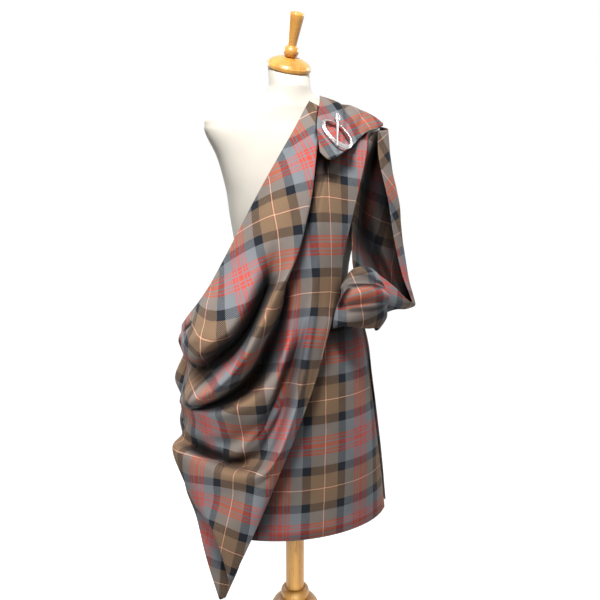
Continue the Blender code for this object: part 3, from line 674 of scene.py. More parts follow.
def cut_triangles(grid):
    """The drape's triangles as corner numbers, wound to face outwards, with each one's three edges laid
    in its own plane, grain upright, and each edge's weight: the cotangent of the angle facing it."""
    quads = grid_faces(*grid.shape[:2])
    triangles = np.concatenate([quads[:, [0, 2, 1]], quads[:, [0, 3, 2]]])
    corners = grid.reshape(-1, 3)[triangles]
    normal = np.cross(corners[:, 1] - corners[:, 0], corners[:, 2] - corners[:, 0])
    if np.sum(normal * corners.mean(axis=1) * (1, 1, 0)) < 0:
        triangles = triangles[:, ::-1]
        corners = corners[:, ::-1]
        normal = -normal
    normal /= np.maximum(np.linalg.norm(normal, axis=1, keepdims=True), 1e-12)
    up = np.array([0.0, 0.0, 1.0]) - normal * normal[:, 2:]
    up /= np.maximum(np.linalg.norm(up, axis=1, keepdims=True), 1e-9)
    side = np.cross(up, normal)
    edges = np.roll(corners, -1, axis=1) - corners
    laid = np.stack([np.sum(edges * side[:, None], -1), np.sum(edges * up[:, None], -1)], axis=-1)
    after = np.roll(edges, -1, axis=1)
    before = -np.roll(edges, 1, axis=1)
    sine = np.linalg.norm(np.cross(after, before), axis=-1)
    weight = np.clip(np.sum(after * before, axis=-1) / np.maximum(sine, 1e-9), *EDGE_WEIGHTS)
    return triangles, laid, weight


def edges_joined(start, end, weight, count):
    """The least-squares matrix of the pattern: every edge ties its two ends by its weight."""
    joined = np.zeros((count, count))
    for one, other, tie in ((start, start, 1), (end, end, 1), (start, end, -1), (end, start, -1)):
        np.add.at(joined, (one, other), tie * weight)
    joined[np.diag_indices(count)] += 1e-7
    return joined


def best_turned(laid, wanted, weight):
    """Each triangle's own edges, turned in the plane by the angle that fits the wanted ones best."""
    x, y = laid[..., 0], laid[..., 1]
    cross = np.sum(weight * (x * wanted[..., 1] - y * wanted[..., 0]), axis=1)
    dot = np.sum(weight * (x * wanted[..., 0] + y * wanted[..., 1]), axis=1)
    angle = np.arctan2(cross, dot)[:, None]
    turned_x = x * np.cos(angle) - y * np.sin(angle)
    turned_y = x * np.sin(angle) + y * np.cos(angle)
    return np.stack([turned_x, turned_y], axis=-1)


def flat_pattern(grid, marks):
    """The cut of a draped cloth, in repeats of the check.

    Every triangle of the drape keeps its own shape and is only turned: each round finds the places
    that fit all the triangles together, by least squares, and then the turn that fits each triangle
    best.
    """
    rows, columns = grid.shape[:2]
    start, laid, weight = cut_triangles(grid)
    end = np.roll(start, -1, axis=1)
    joined = edges_joined(start, end, weight, rows * columns)
    pulls = np.zeros((rows * columns, 2))
    solve = []
    for line, lies in enumerate(("up", "across")):
        matrix = joined.copy()
        for repeat, places in marks.get(lies, ()):
            for place in places:
                corner, share = nearest_cell(grid, np.array(place) * MM)
                matrix[np.ix_(corner, corner)] += MARK_HOLD * np.outer(share, share)
                pulls[corner, line] += MARK_HOLD * share * repeat * REPEAT
        solve.append(np.linalg.inv(matrix))
    flat = np.zeros_like(pulls)
    turned_edges = laid
    for _ in range(FLAT_ROUNDS):
        force = pulls.copy()
        for line in (0, 1):
            pull = weight * turned_edges[..., line]
            np.add.at(force[:, line], end, pull)
            np.add.at(force[:, line], start, -pull)
            flat[:, line] = solve[line] @ force[:, line]
        turned_edges = best_turned(laid, flat[end] - flat[start], weight)
    return flat.reshape(rows, columns, 2) / REPEAT


# ---- light in the folds, and creases ----

# How open a place is to the light: rays over the half sphere, as far as REACH, each weighed by its
# height over the cloth and by how far up it points.
RAYS = 72
REACH = 0.20
OFF_WALL = 0.005
"""How far off the cloth the rays start."""
FROM_ABOVE = 0.9
"""How much more light comes from straight above than from the side, as a share."""
LEAST_FACING = 0.05
"""The least weight of a ray that is looked along."""
FAR_CLOTH = 0.5
"""The share of light that reaches a place past cloth at the full REACH."""


def ray_directions():
    """Directions spread evenly over a sphere, on a golden spiral."""
    count = np.arange(RAYS) + 0.5
    height = 1 - 2 * count / RAYS
    turn = math.pi * (1 + math.sqrt(5)) * count
    across = np.sqrt(1 - height**2)
    return np.stack([across * np.cos(turn), across * np.sin(turn), height], axis=-1)


def openness(grid, side, near):
    """How open each place of a cloth is to the light on one side (1 or -1), from 0, shut in, to 1."""
    normals = normals_of(grid) * side
    rays = ray_directions()
    facing = np.clip(normals @ rays.T, 0.0, 1.0) * (1.0 + FROM_ABOVE * rays[:, 2])
    result = np.empty(grid.shape[:2])
    for place in np.ndindex(*result.shape):
        start = Vector(grid[place] + normals[place] * OFF_WALL)
        total = lit = 0.0
        for ray, weight in zip(rays, facing[place]):
            if weight > LEAST_FACING:
                total += weight
                distance = near.ray_cast(start, Vector(ray), REACH)[3]
                lit += weight * (1.0 if distance is None else FAR_CLOTH * distance / REACH)
        result[place] = lit / total
    return result


RUMPLE = 0.0004
"""The height of a ridge whose length is FULL_WAVE; shorter ones are lower and longer ones higher."""
WAVE_LENGTHS = (0.055, 0.085, 0.13, 0.19)
FULL_WAVE = 0.13
WAVE_TURN = 0.45
"""How widely the ridges' directions spread about the fall of the cloth, in radians."""
WAVE_DRIFT = (1.3, 2.1)
"""How fast a ridge wanders to its side, in radians for each repeat across and along."""
CALM_EDGE = 0.06


def from_edge(count):
    """0 at either end of a row of points, and 1 past CALM_EDGE of its length."""
    number = np.arange(count)
    return np.clip(np.minimum(number, number[::-1]) / (CALM_EDGE * count), 0, 1)


def rumple(grid, flat, seed):
    """Small soft ridges in the cloth: the sum of a few sine waves over the flat pattern, most of them
    running with the fall of the cloth, moved along the normals."""
    chance = np.random.default_rng(seed)
    wave = np.zeros(grid.shape[:2])
    for length in WAVE_LENGTHS:
        turn = chance.normal(0.0, WAVE_TURN)
        phase = chance.uniform(0.0, 2 * math.pi, 2)
        run = (flat[..., 0] * math.cos(turn) + flat[..., 1] * math.sin(turn)) * REPEAT
        drift = np.sin(flat[..., 1] * WAVE_DRIFT[1] + flat[..., 0] * WAVE_DRIFT[0] + phase[1])
        wave += np.sin(2 * math.pi * run / length + phase[0] + drift) * length / FULL_WAVE
    rows, columns = wave.shape
    calm = from_edge(rows)[:, None] * from_edge(columns)
    return grid + normals_of(grid) * (RUMPLE * wave * calm)[..., None]


# Creases pressed into a stretch, or raised where the depth is negative. The first four columns are shares
# of the cloth's grid: across, along, to across, to along; then depth and half width.
CREASES = {
    "plaid_waist_wrap": (
        (0.25, 0.26, 0.50, 0.04, 0.0070, 0.0045),
        (0.19, 0.12, 0.26, 0.84, 0.0050, 0.0040),
        (0.10, 0.20, 0.13, 0.70, -0.0030, 0.0060),
        (0.55, 0.16, 0.49, 0.86, 0.0040, 0.0055),
        (0.80, 0.22, 0.78, 0.84, 0.0030, 0.0060),
    ),
    "plaid_front": (
        (0.80, 0.60, 0.79, 0.86, -0.0090, 0.0140),
        (0.70, 0.72, 0.71, 0.88, 0.0060, 0.0120),
        (0.04, 0.68, 0.04, 0.86, 0.0070, 0.0070),
        (0.10, 0.62, 0.11, 0.86, -0.0040, 0.0100),
    ),
    "plaid_shoulder": (
        (0.30, 0.10, 0.62, 0.92, 0.0022, 0.0070),
        (0.72, 0.20, 0.80, 0.80, 0.0018, 0.0080),
    ),
    "plaid_side_loop": (
        (0.30, 0.62, 0.62, 0.88, 0.0030, 0.0090),
    ),
}
DARKEST_CREASE = 0.0060
CREASE_SHADE = 0.85
"""The share of the light that a crease of DARKEST_CREASE or deeper takes at its bottom."""


def crease_bells(flat, creases):
    """For each crease, its depth and a bell of each point's distance from the crease's line on the flat
    cloth over the half width, which fades to nothing at the line's two ends."""
    last_row, last_column = np.array(flat.shape[:2]) - 1
    for across, along, to_across, to_along, depth, width in creases:
        start = flat[round(across * last_row), round(along * last_column)]
        line = flat[round(to_across * last_row), round(to_along * last_column)] - start
        share = np.clip((flat - start) @ line / np.sum(line ** 2), 0.0, 1.0)
        away = np.linalg.norm(flat - start - share[..., None] * line, axis=-1) * REPEAT
        yield depth, np.exp(-((away / width) ** 2)) * (1 - (2 * share - 1) ** 4)


def creased(grid, flat, creases):
    """The grid moved in along its normals by each crease's depth times its bell, and how much of the light
    the creases leave."""
    inward = np.zeros(grid.shape[:2])
    light = np.ones(grid.shape[:2])
    for depth, bell in crease_bells(flat, creases):
        inward += depth * bell
        light *= 1 - CREASE_SHADE * min(max(depth, 0.0) / DARKEST_CREASE, 1.0) * bell
    return grid - normals_of(grid) * inward[..., None], light


# ---- where the check lies ----

# Each cloth's check is laid from places on its lines: the cream lines that run up the cloth, and then
# those that run across it, each with its number and with places on it as (x, y, z) in millimetres from
# the foot of the pole.
FRONT_MARKS = {
    "up": (
        (0, (
            (42, -98, 1299), (40, -121, 1217), (40, -130, 1128), (43, -135, 1050), (32, -147, 998),
            (23, -157, 953),
        )),
        (-1, (
            (-73, -88, 1281), (-78, -121, 1231), (-74, -147, 1172), (-74, -150, 1127), (-72, -173, 1071),
            (-107, -177, 1018), (-143, -100, 850), (-151, -141, 833), (-155, -155, 811),
        )),
        (-2, ((-217, -59, 1018), (-218, -104, 989), (-216, -131, 944))),
    ),
    "across": (
        (0, (
            (43, -115, 1243), (-15, -147, 1223), (-43, -144, 1216), (-76, -137, 1201), (-108, -120, 1187),
        )),
        (-1, (
            (38, -137, 1050), (-90, -173, 1017), (-107, -177, 1018), (-130, -136, 1010),
            (-231, -106, 945), (-192, -152, 966), (-170, -153, 977),
        )),
        (-2, (
            (-100, -158, 868), (-51, -146, 858), (-22, -178, 853), (-219, -126, 850), (-202, -120, 836),
            (-153, -136, 832), (-127, -157, 841),
        )),
        (-3, (
            (-256, -39, 625), (-219, -92, 652), (-190, -89, 678), (-161, -110, 677), (-144, -153, 681),
            (-119, -182, 675), (-90, -180, 670),
        )),
        (-3.79, ((-233, -78, 583), (-196, -141, 569), (-167, -164, 545))),
        (-4, ((-197, -150, 534), (-166, -166, 518))),
    ),
}
LOOP_MARKS = {
    "up": ((0, ((227, -1, 1075), (236, 1, 1090), (239, -13, 1107))),),
    "across": (
        (0, ((176, 15, 1200), (193, 12, 1188), (213, 12, 1177), (229, 2, 1165), (215, -67, 1160))),
    ),
}
WRAP_MARKS = {
    "up": ((0, ((88, -179, 1053), (89, -181, 1032), (89, -180, 1008))),),
    "across": ((0.5, ((71, -178, 1037), (97, -183, 1036))),),
}
TAIL_MARKS = {"up": ((0.5, ((-220, -73, 508),)),), "across": ((0.5, ((-220, -73, 508),)),)}
SHOULDER_MARKS = {"up": ((0.5, ((64, -83, 1366),)),), "across": ((0.5, ((64, -83, 1366),)),)}


# ---- the plaid ----

FINER = 5
"""How many times finer than its drape a cloth is drawn."""
"""The least share of its flat rectangle that a cut can fill."""

# Each stretch in the order that they are laid. Its columns are the name, the fold lines, how many points
# across and along, the gaps kept from the form and from the kilt, the cloths already laid under it with
# the gap kept from each, the marks of its check, how it is held, what it rests on, and its rumples' seed.
STRETCHES = (
    ("plaid_back", BACK_FOLDS, 13, 16, OVER_FORM, OVER_KILT, {}, {}, "draped", ["form_torso"], 11),
    ("plaid_tail", TAIL_FOLDS, 6, 10, OVER_FORM, TAIL_ON_KILT, {}, TAIL_MARKS, "hung", ["kilt_skirt"], 12),
    (
        "plaid_side_loop", LOOP_FOLDS, 15, 17, LOOP_ON_FORM, OVER_KILT,
        {},
        LOOP_MARKS, "draped", ["form_torso"], 13,
    ),
    (
        "plaid_waist_wrap", WRAP_FOLDS, 15, 11, OVER_FORM, WRAP_ON_KILT,
        {"plaid_side_loop": WRAP_ON_LOOP},
        WRAP_MARKS, "gathered", ["kilt_skirt"], 14,
    ),
    (
        "plaid_front", FRONT_FOLDS, 40, 28, OVER_FORM, OVER_KILT,
        {
            "plaid_back": OVER_CLOTH, "plaid_tail": OVER_TAIL, "plaid_side_loop": OVER_CLOTH,
            "plaid_waist_wrap": OVER_CLOTH,
        },
        FRONT_MARKS, "draped", ["form_torso", "kilt_skirt"], 15,
    ),
    (
        "plaid_shoulder", SHOULDER_FOLDS, 10, 11, OVER_FORM, OVER_KILT,
        {"plaid_back": SHOULDER_ON_BACK, "plaid_side_loop": OVER_CLOTH, "plaid_front": OVER_CLOTH},
        SHOULDER_MARKS, "draped", ["plaid_front", "plaid_back"], 16,
    ),
)


def plaid_nodes():
    """The names of the plaid's solids."""
    return [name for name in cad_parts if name.startswith("plaid")]


def plaid_piece(name, coarse, pattern, seed, near):
    """One stretch of the plaid from its drape and its flat pattern: drawn finer, creased, rumpled, given
    its wall, and darkened where what is near shuts out the light."""
    flat = finer(pattern, FINER)
    grid, light = creased(finer(coarse, FINER), flat, CREASES.get(name, ()))
    points, faces = walled(rumple(grid, flat, seed), PLAID_WALL)
    piece = new_piece(name, points, faces, tartan, np.stack([flat, flat]))
    # painted shade: how open each side is to the light, times the light that the creases leave
    is_open = [finer(openness(coarse, side, near)[..., None], FINER) for side in (1, -1)]
    set_open(piece, np.stack(is_open) * light[..., None])
    return piece


def make_plaid():
    """The plaid's stretches, each lifted off what already lies under it and cut flat for its check."""
    form = node_tree("form_torso")
    hull = kilt_hull()
    near = node_tree("form_torso", "kilt_skirt", *plaid_nodes())
    laid = {}
    for name, folds, across, along, off_form, off_kilt, cloths, marks, held, rests_on, seed in STRETCHES:
        under = [(form, off_form, FAR_UNDER), (hull, off_kilt, FAR_UNDER)]
        under += [(laid[cloth], gap, NEAR_UNDER) for cloth, gap in cloths.items()]
        coarse = lift_off(skin(folds, across, along), under)
        laid[name] = tree_of(coarse)
        pattern = flat_pattern(coarse, marks)
        piece = plaid_piece(name, coarse, pattern, seed, near)


# ---- the kilt ----

# Kilt sections: height, half width, front depth, back depth, all to the outermost cloth.
KILT_SECTIONS = (
    (1.045, 0.1316, 0.0952, 0.0931),
    (1.010, 0.1400, 0.1030, 0.1030),
    (0.960, 0.1570, 0.1150, 0.1180),
    (0.900, 0.1730, 0.1260, 0.1330),
    (0.830, 0.1820, 0.1360, 0.1480),
    (0.740, 0.1950, 0.1470, 0.1560),
    (0.630, 0.2100, 0.1540, 0.1620),
    (0.512, 0.2230, 0.1580, 0.1680),
)
KILT_TOP = 1.045
KILT_HEM = 0.512
PLEATS = 23
APRON_POINTS = 14
KILT_FINER = 5
HULL_SIDES = 72

# Places round the kilt, in degrees from the wearer's left and on round by the front. A pair gives the
# value at the top and the one at the hem.
FREE_EDGE = (38.0, 26.0)
PLEAT_START = 184.0
PLEAT_END = 372.0
PLEAT_LAP = (4.1, 4.3)
UNDER_APRON_END = 535.0
APRON_GAPS = (6.0, 8.0)
"""What the outer apron stops short of the first pleat, and the under apron starts after the last."""
ONCE_ROUND = (140.0, 500.0)
"""Two places, one full round apart."""
ALL_ROUND = 540.0
"""As far round as the kilt's ovals are read."""

PLEAT_DEPTH = (0.0075, 0.0090)
PLEAT_STEPS = ((0.0, 0.0), (0.0, 0.3), (1.0, 0.7), (1.0, 1.0))
"""A pleat's four corners, as shares of its lap and of its depth."""
UNDER_APRON_DEPTH = 0.0050

APRON_LINE = (0.0396, 0.0187)
"""How far to the wearer's left of the pole the apron's cream line runs."""
HEM_LINE = 0.416
CHECK_STEPS = np.array([0.0, 0.04, 0.97, 1.0])
"""A pleat's four corners, as shares of the cloth from its edge to the inside of its fold."""

SHADE_STEP = 9.0
SHADE_LEVELS = 30
"""The degrees between the places where the skirt's light is worked out, and their levels."""
PLEAT_SHADE = 0.75
"""The share of the light that is lost at the bottom of a pleat."""

BAND_DEPTH = 0.040
BAND_RISE = 0.001
BAND_EASE = 0.0010
"""The gap between the band and the skirt's cloth."""
BAND_ROUND = 357.0
BAND_ROWS = 9
BAND_COLUMNS = 180


def down_kilt(ends, height):
    """The value at a height, on a straight line between the one at the kilt's top and at its hem."""
    top, hem = ends
    return top + (hem - top) * ((KILT_TOP - height) / (KILT_TOP - KILT_HEM))


def read_rows(rows, at):
    """Rows read between each other, at fractions of a row number."""
    return np.array([np.interp(at, np.arange(len(rows)), column) for column in np.asarray(rows).T]).T


def kilt_path(height):
    """The kilt's one length of cloth at a height, as (degrees round the body, depth below the surface):
    the outer apron from its free edge, then each pleat's face and the folds beneath it, and last the
    under apron."""
    depth = down_kilt(PLEAT_DEPTH, height)
    lap = down_kilt(PLEAT_LAP, height)
    free_edge = down_kilt(FREE_EDGE, height)
    outer = np.linspace(free_edge, PLEAT_START - APRON_GAPS[0], APRON_POINTS)
    under = np.linspace(PLEAT_END + APRON_GAPS[1], UNDER_APRON_END, APRON_POINTS)
    path = [(degrees, 0.0) for degrees in outer]
    for degrees in np.linspace(PLEAT_START, PLEAT_END, PLEATS + 1):
        path += [(degrees - lap * back, depth * share) for back, share in PLEAT_STEPS]
    path += [(degrees, UNDER_APRON_DEPTH) for degrees in under]
    return np.array(path)


def kilt_surface(height, degrees, depth):
    """The place that lies the given depth inside the kilt's outer oval: an ellipse at each height, moved
    in along its own normal."""
    sections = np.array(KILT_SECTIONS[::-1])
    half_width, front, back = (np.interp(height, sections[:, 0], sections[:, k]) for k in (1, 2, 3))
    angle = np.radians(degrees)
    long_way = np.where(np.sin(angle) > 0, front, back)
    x = half_width * np.cos(angle)
    y = -long_way * np.sin(angle)
    normal = np.stack([x / half_width**2, y / long_way**2], axis=-1)
    normal /= np.linalg.norm(normal, axis=-1, keepdims=True)
    x -= normal[..., 0] * depth
    y -= normal[..., 1] * depth
    return np.stack([x, y, np.full_like(x, height)], axis=-1)


def kilt_hull():
    """The kilt's outermost ovals, with no pleats."""
    degrees = np.arange(HULL_SIDES) * 360.0 / HULL_SIDES
    rings = [kilt_surface(height, degrees, 0.0) for height, *_ in KILT_SECTIONS]
    return tree_of(np.stack(rings), closed=True)


def run_of(grid):
    """How far along the cloth each point of a row is from the row's start."""
    steps = np.linalg.norm(np.diff(grid, axis=1), axis=-1)
    return np.concatenate([np.zeros((len(grid), 1)), np.cumsum(steps, axis=1)], axis=1)


def oval_run(height, degrees):
    """How far round the outer oval the given degrees lie from the apron's cream line."""
    every = np.arange(0.0, ALL_ROUND + 1.0)
    oval = kilt_surface(height, every, 0.0)
    run = run_of(oval[None])[0]
    front = every <= 180.0
    start = np.interp(-down_kilt(APRON_LINE, height), -oval[front, 0], run[front])
    return np.interp(degrees, every, run) - start


def kilt_check(height):
    """The repeat of the check at each point of the kilt's path: straight round the apron; then pleated
    to the sett, so that each pleat's face goes on where the last one's left off, one whole repeat
    further along the cloth, and the stripes draw in to the waist with the pleats."""
    degrees = kilt_path(height)[:, 0]
    check = -oval_run(height, degrees)
    round_hem = oval_run(KILT_HEM, ONCE_ROUND[1]) - oval_run(KILT_HEM, ONCE_ROUND[0])
    pleated = round_hem - oval_run(KILT_HEM, degrees)
    lap = down_kilt(PLEAT_LAP, height)
    for pleat in range(PLEATS + 1):
        first = APRON_POINTS + len(PLEAT_STEPS) * pleat
        edge = pleated[first]
        inside = round_hem - oval_run(KILT_HEM, degrees[first] - lap) - REPEAT
        check[first:first + len(CHECK_STEPS)] = edge + (inside - edge) * CHECK_STEPS - pleat * REPEAT
    under = APRON_POINTS + len(PLEAT_STEPS) * (PLEATS + 1)
    check[under:] = pleated[under:] - (PLEATS + 1) * REPEAT
    return check / REPEAT


def open_to_light(degrees, heights):
    """How open the skirt is under the plaid, at each height and place round it: worked out on the smooth
    outer oval, and read between its places."""
    every = np.arange(0.0, ALL_ROUND + 1.0, SHADE_STEP)
    levels = np.linspace(KILT_TOP, KILT_HEM, SHADE_LEVELS)
    oval = np.stack([kilt_surface(level, every, 0.0) for level in levels])
    shut_by = node_tree(*plaid_nodes())
    by_level = np.array([np.interp(degrees, every, row) for row in openness(oval, 1, shut_by)])
    return np.array([np.interp(-heights, -levels, column) for column in by_level.T]).T


def make_kilt():
    """The skirt: the path round the body at each section's height, drawn finer round and down."""
    heights = [height for height, *_ in KILT_SECTIONS]
    keys = np.stack([kilt_surface(height, *kilt_path(height).T) for height in heights])
    grid = finer(keys, KILT_FINER)
    rows, columns = grid.shape[:2]
    round_body = np.arange(columns) / KILT_FINER
    checks = read_rows(np.stack([kilt_check(height) for height in heights], axis=1), round_body)
    across = read_rows(checks.T, np.arange(rows) / KILT_FINER)
    up = (grid[..., 2] - KILT_HEM) / REPEAT + HEM_LINE
    flat = np.stack([across, up], axis=-1)
    piece = new_piece("kilt_skirt", grid, grid_faces(rows, columns), tartan, flat)
    degrees, depth = read_rows(kilt_path(KILT_HEM), round_body).T
    # painted shade: darker at the bottom of each pleat, and painted shadow where the plaid shuts out the
    # light
    painted_pleat_shade = 1.0 - PLEAT_SHADE * np.clip(depth / PLEAT_DEPTH[1], 0.0, 1.0)
    set_open(piece, painted_pleat_shade * open_to_light(degrees, grid[:, 0, 2]))
    solidify(piece, KILT_WALL)


def make_waistband():
    """A straight band over the top of the kilt, once round, meeting above the apron's free edge."""
    out = -(KILT_WALL + BAND_WALL) / 2 - BAND_EASE
    degrees = np.linspace(FREE_EDGE[0], FREE_EDGE[0] + BAND_ROUND, BAND_COLUMNS)
    heights = np.linspace(KILT_TOP - BAND_DEPTH, KILT_TOP + BAND_RISE, BAND_ROWS)
    grid = np.stack([kilt_surface(height, degrees, out) for height in heights])
    flat = np.stack([-run_of(grid), grid[..., 2] - KILT_HEM + HEM_LINE * REPEAT], axis=-1) / REPEAT
    faces = grid_faces(BAND_ROWS, BAND_COLUMNS)
    piece = new_piece("kilt_waistband", grid, faces, tartan, flat)
    set_open(piece, np.ones(grid.shape[:2]))
    solidify(piece, BAND_WALL)


# ---- the dress form ----

# Form sections: height, half width, front depth, back depth, squareness of the oval, shift sideways.
FORM_SECTIONS = (
    (0.800, 0.146, 0.098, 0.108, 2.0, 0.000),
    (0.840, 0.156, 0.102, 0.118, 2.0, 0.000),
    (0.900, 0.148, 0.098, 0.108, 2.0, 0.000),
    (0.970, 0.131, 0.090, 0.092, 2.0, 0.000),
    (1.030, 0.121, 0.088, 0.083, 2.0, 0.000),
    (1.080, 0.124, 0.090, 0.086, 2.0, 0.000),
    (1.130, 0.132, 0.092, 0.094, 2.1, 0.000),
    (1.195, 0.142, 0.096, 0.101, 2.1, 0.000),
    (1.260, 0.151, 0.090, 0.105, 2.2, 0.000),
    (1.320, 0.168, 0.077, 0.100, 2.2, 0.000),
    (1.360, 0.188, 0.065, 0.088, 2.2, 0.000),
    (1.382, 0.193, 0.057, 0.076, 2.1, 0.000),
    (1.399, 0.183, 0.052, 0.064, 2.0, -0.001),
    (1.411, 0.158, 0.050, 0.057, 2.0, -0.003),
    (1.422, 0.122, 0.049, 0.053, 2.0, -0.004),
    (1.434, 0.078, 0.047, 0.050, 2.0, -0.007),
    (1.448, 0.053, 0.046, 0.047, 2.0, -0.010),
    (1.465, 0.044, 0.046, 0.045, 2.0, -0.010),
)
NECK_TOP = (-0.0100, 0.0100, 1.5040)
NECK_LEAN_FORWARD = math.radians(23)
NECK_LEAN_SIDE = math.radians(4)
NECK_RADIUS = 0.0445
NECK_STEPS = 8
FORM_ROWS = 120
FORM_SIDES = 112
FORM_FOOT = ((0.03, 0.0), (0.60, 0.0), (0.955, 0.0), (0.985, -0.0012))
"""The turn-in of the form's foot: share of the lowest section, and drop below it in metres."""
FORM_TOP = (0.97, 0.6, 0.02)
"""The rings that close the neck's top, as shares of it."""


def neck_frame():
    """Turns a piece so that its Z runs along the neck, with its origin on the neck's top."""
    forward = Matrix.Rotation(NECK_LEAN_FORWARD, 4, "X")
    return Matrix.Translation(NECK_TOP) @ Matrix.Rotation(NECK_LEAN_SIDE, 4, "Y") @ forward


def placed(points, where):
    """Points moved by a matrix."""
    matrix = np.array(where)
    return np.asarray(points) @ matrix[:3, :3].T + matrix[:3, 3]


def around(sides):
    """Even angles once round."""
    return np.arange(sides) * 2 * math.pi / sides


def shrunk(ring, share):
    """A ring drawn in to its middle."""
    middle = ring.mean(axis=0)
    return middle + (ring - middle) * share


def capped(rows, columns):
    """The faces of a closed tube of rings, with one face over each end."""
    faces = grid_faces(rows, columns, closed=True).tolist()
    last = (rows - 1) * columns
    return faces + [list(range(columns))[::-1], list(range(last, last + columns))]


def make_form():
    """The padded form: a squared oval at each height, |x/a|^n + |y/b|^n = 1, the neck's leaning circle
    above the last, and a rounded turn-in at the foot."""
    angle = around(FORM_SIDES)
    across = np.cos(angle)
    ahead = np.sin(angle)
    height, width, front, back, square, shift = smooth_through(FORM_SECTIONS, FORM_ROWS, 0).T[..., None]
    x = shift + width * np.sign(across) * np.abs(across) ** (2.0 / square)
    y = -np.where(ahead > 0, front, back) * np.sign(ahead) * np.abs(ahead) ** (2.0 / square)
    rings = np.stack([x, y, np.broadcast_to(height, x.shape)], axis=-1)
    top = placed(np.stack([NECK_RADIUS * across, -NECK_RADIUS * ahead, 0 * angle], axis=-1), neck_frame())
    neck = rings[-1] + (top - rings[-1]) * np.linspace(0, 1, NECK_STEPS + 1)[1:, None, None]
    foot = [shrunk(rings[0], share) - (0, 0, drop) for share, drop in FORM_FOOT]
    cap = [shrunk(top, share) for share in FORM_TOP]
    grid = np.concatenate([foot, rings, neck, cap])
    faces = [face[::-1] for face in capped(*grid.shape[:2])]
    new_piece("form_torso", grid, faces, jersey)


# ---- turned wood and silver ----

def turned(name, profile, material, where=None, sides=96, relief=None):
    """A turned piece: each (radius, height) of the profile, taken down its outer side, is carried round
    the axis. A profile that starts off the axis closes on itself, as a ring's does, and any other ends
    in a point on the axis. relief returns the grid with its chasing, for the grid and its angles."""
    profile = np.asarray(profile, float)
    angle = around(sides)
    radius, height = (np.broadcast_to(profile[:, k:k + 1], (len(profile), sides)) for k in (0, 1))
    grid = np.stack([radius * np.cos(angle), radius * np.sin(angle), height], axis=-1)
    if relief is not None:
        grid = relief(grid, angle)
    if profile[0, 0] > 0:
        points = grid.reshape(-1, 3)
        faces = grid_faces(len(grid) + 1, sides, closed=True) % len(points)
    else:
        points = np.concatenate([grid[1:-1].reshape(-1, 3), grid[0, :1], grid[-1, :1]])
        top = len(points) - 2
        ring = np.arange(sides)
        low = ring + top - sides
        faces = grid_faces(len(grid) - 2, sides, closed=True).tolist()
        faces += [(top, b, a) for a, b in zip(ring, np.roll(ring, -1))]
        faces += [(top + 1, a, b) for a, b in zip(low, np.roll(low, -1))]
    if where is not None:
        points = placed(points, where)
    new_piece(name, points, [face[::-1] for face in faces], material)


def smooth_corners(profile, samples):
    """The profile cut into short straight steps, each corner eased by averaging it with its neighbours."""
    profile = np.asarray(profile, float)
    steps = np.linalg.norm(np.diff(profile, axis=0), axis=1)
    at = np.concatenate([[0.0], np.cumsum(steps)])
    even = np.linspace(0, at[-1], samples)
    line = np.stack([np.interp(even, at, profile[:, k]) for k in (0, 1)], axis=1)
    for _ in range(2):
        line[1:-1] = (line[:-2] + 2 * line[1:-1] + line[2:]) / 4
    return line


def wooden(name, profile, where=None, samples=90):
    """A turned piece of beech with eased corners."""
    turned(name, smooth_corners(profile, samples), beech, where)


# ---- the stand ----

POLE_RADIUS = 0.022
BEAD_RADIUS = 0.034
BEAD_SHOULDER = 0.002
BEAD_STEPS = 25
GAP = 0.0004
LEG_TURNS = {"left": 194.0, "right": 314.0, "back": 74.0}
LEG_WIDTH = 0.026
LEG_CORNER = 0.003
LEG_STEPS = 70
CORNER_STEPS = 5
SHARP = math.radians(40)

# The hub's profile: (radius, distance below its top).
HUB = (
    (0.0, 0.0), (0.032, 0.0), (0.040, 0.0015), (0.048, 0.0065), (0.054, 0.014), (0.0575, 0.021),
    (0.058, 0.026), (0.058, 0.092), (0.050, 0.100), (0.030, 0.108), (0.022, 0.114), (0.018, 0.124),
    (0.010, 0.129), (0.0, 0.130),
)

# A leg's outline in the upright plane through the pole, from the hub out to the toe: (out, up).
LEG_UPPER = (
    (0.0584, 0.252), (0.090, 0.256), (0.125, 0.236), (0.160, 0.192), (0.190, 0.128), (0.222, 0.064),
    (0.256, 0.036), (0.292, 0.026), (0.302, 0.014),
)
LEG_LOWER = (
    (0.0584, 0.192), (0.092, 0.200), (0.126, 0.180), (0.160, 0.124), (0.190, 0.060), (0.222, 0.012),
    (0.250, 0.000), (0.276, 0.000), (0.302, 0.000),
)


def make_leg(side, degrees):
    """A sawn leg: at each step along it a rounded rectangle spans from the lower outline to the upper."""
    upper = smooth_through(LEG_UPPER, LEG_STEPS, 0)
    lower = smooth_through(LEG_LOWER, LEG_STEPS, 0)
    lower[:, 1] = np.maximum(lower[:, 1], 0.0)
    flat = LEG_WIDTH / 2 - LEG_CORNER
    ring = []
    for across, along, quarter in ((1, 1, 0), (-1, 1, 1), (-1, -1, 2), (1, -1, 3)):
        angle = np.linspace(0, math.pi / 2, CORNER_STEPS) + quarter * math.pi / 2
        ring += [(across * flat + LEG_CORNER * math.cos(a), along, LEG_CORNER * math.sin(a)) for a in angle]
    sideways, edge, rounding = np.array(ring).T
    height = np.linalg.norm(upper - lower, axis=1, keepdims=True)
    reach = edge * (height / 2 - LEG_CORNER) + rounding
    middle = (upper + lower) / 2
    way = (upper - lower) / height
    out = middle[:, :1] + way[:, :1] * reach
    up = middle[:, 1:] + way[:, 1:] * reach
    turn = math.radians(degrees)
    x = out * math.cos(turn) - sideways * math.sin(turn)
    y = out * math.sin(turn) + sideways * math.cos(turn)
    grid = np.stack([x, y, up], axis=-1)
    leg = new_piece(f"stand_leg_{side}", grid, capped(*grid.shape[:2]), beech)
    turn_outwards(leg)


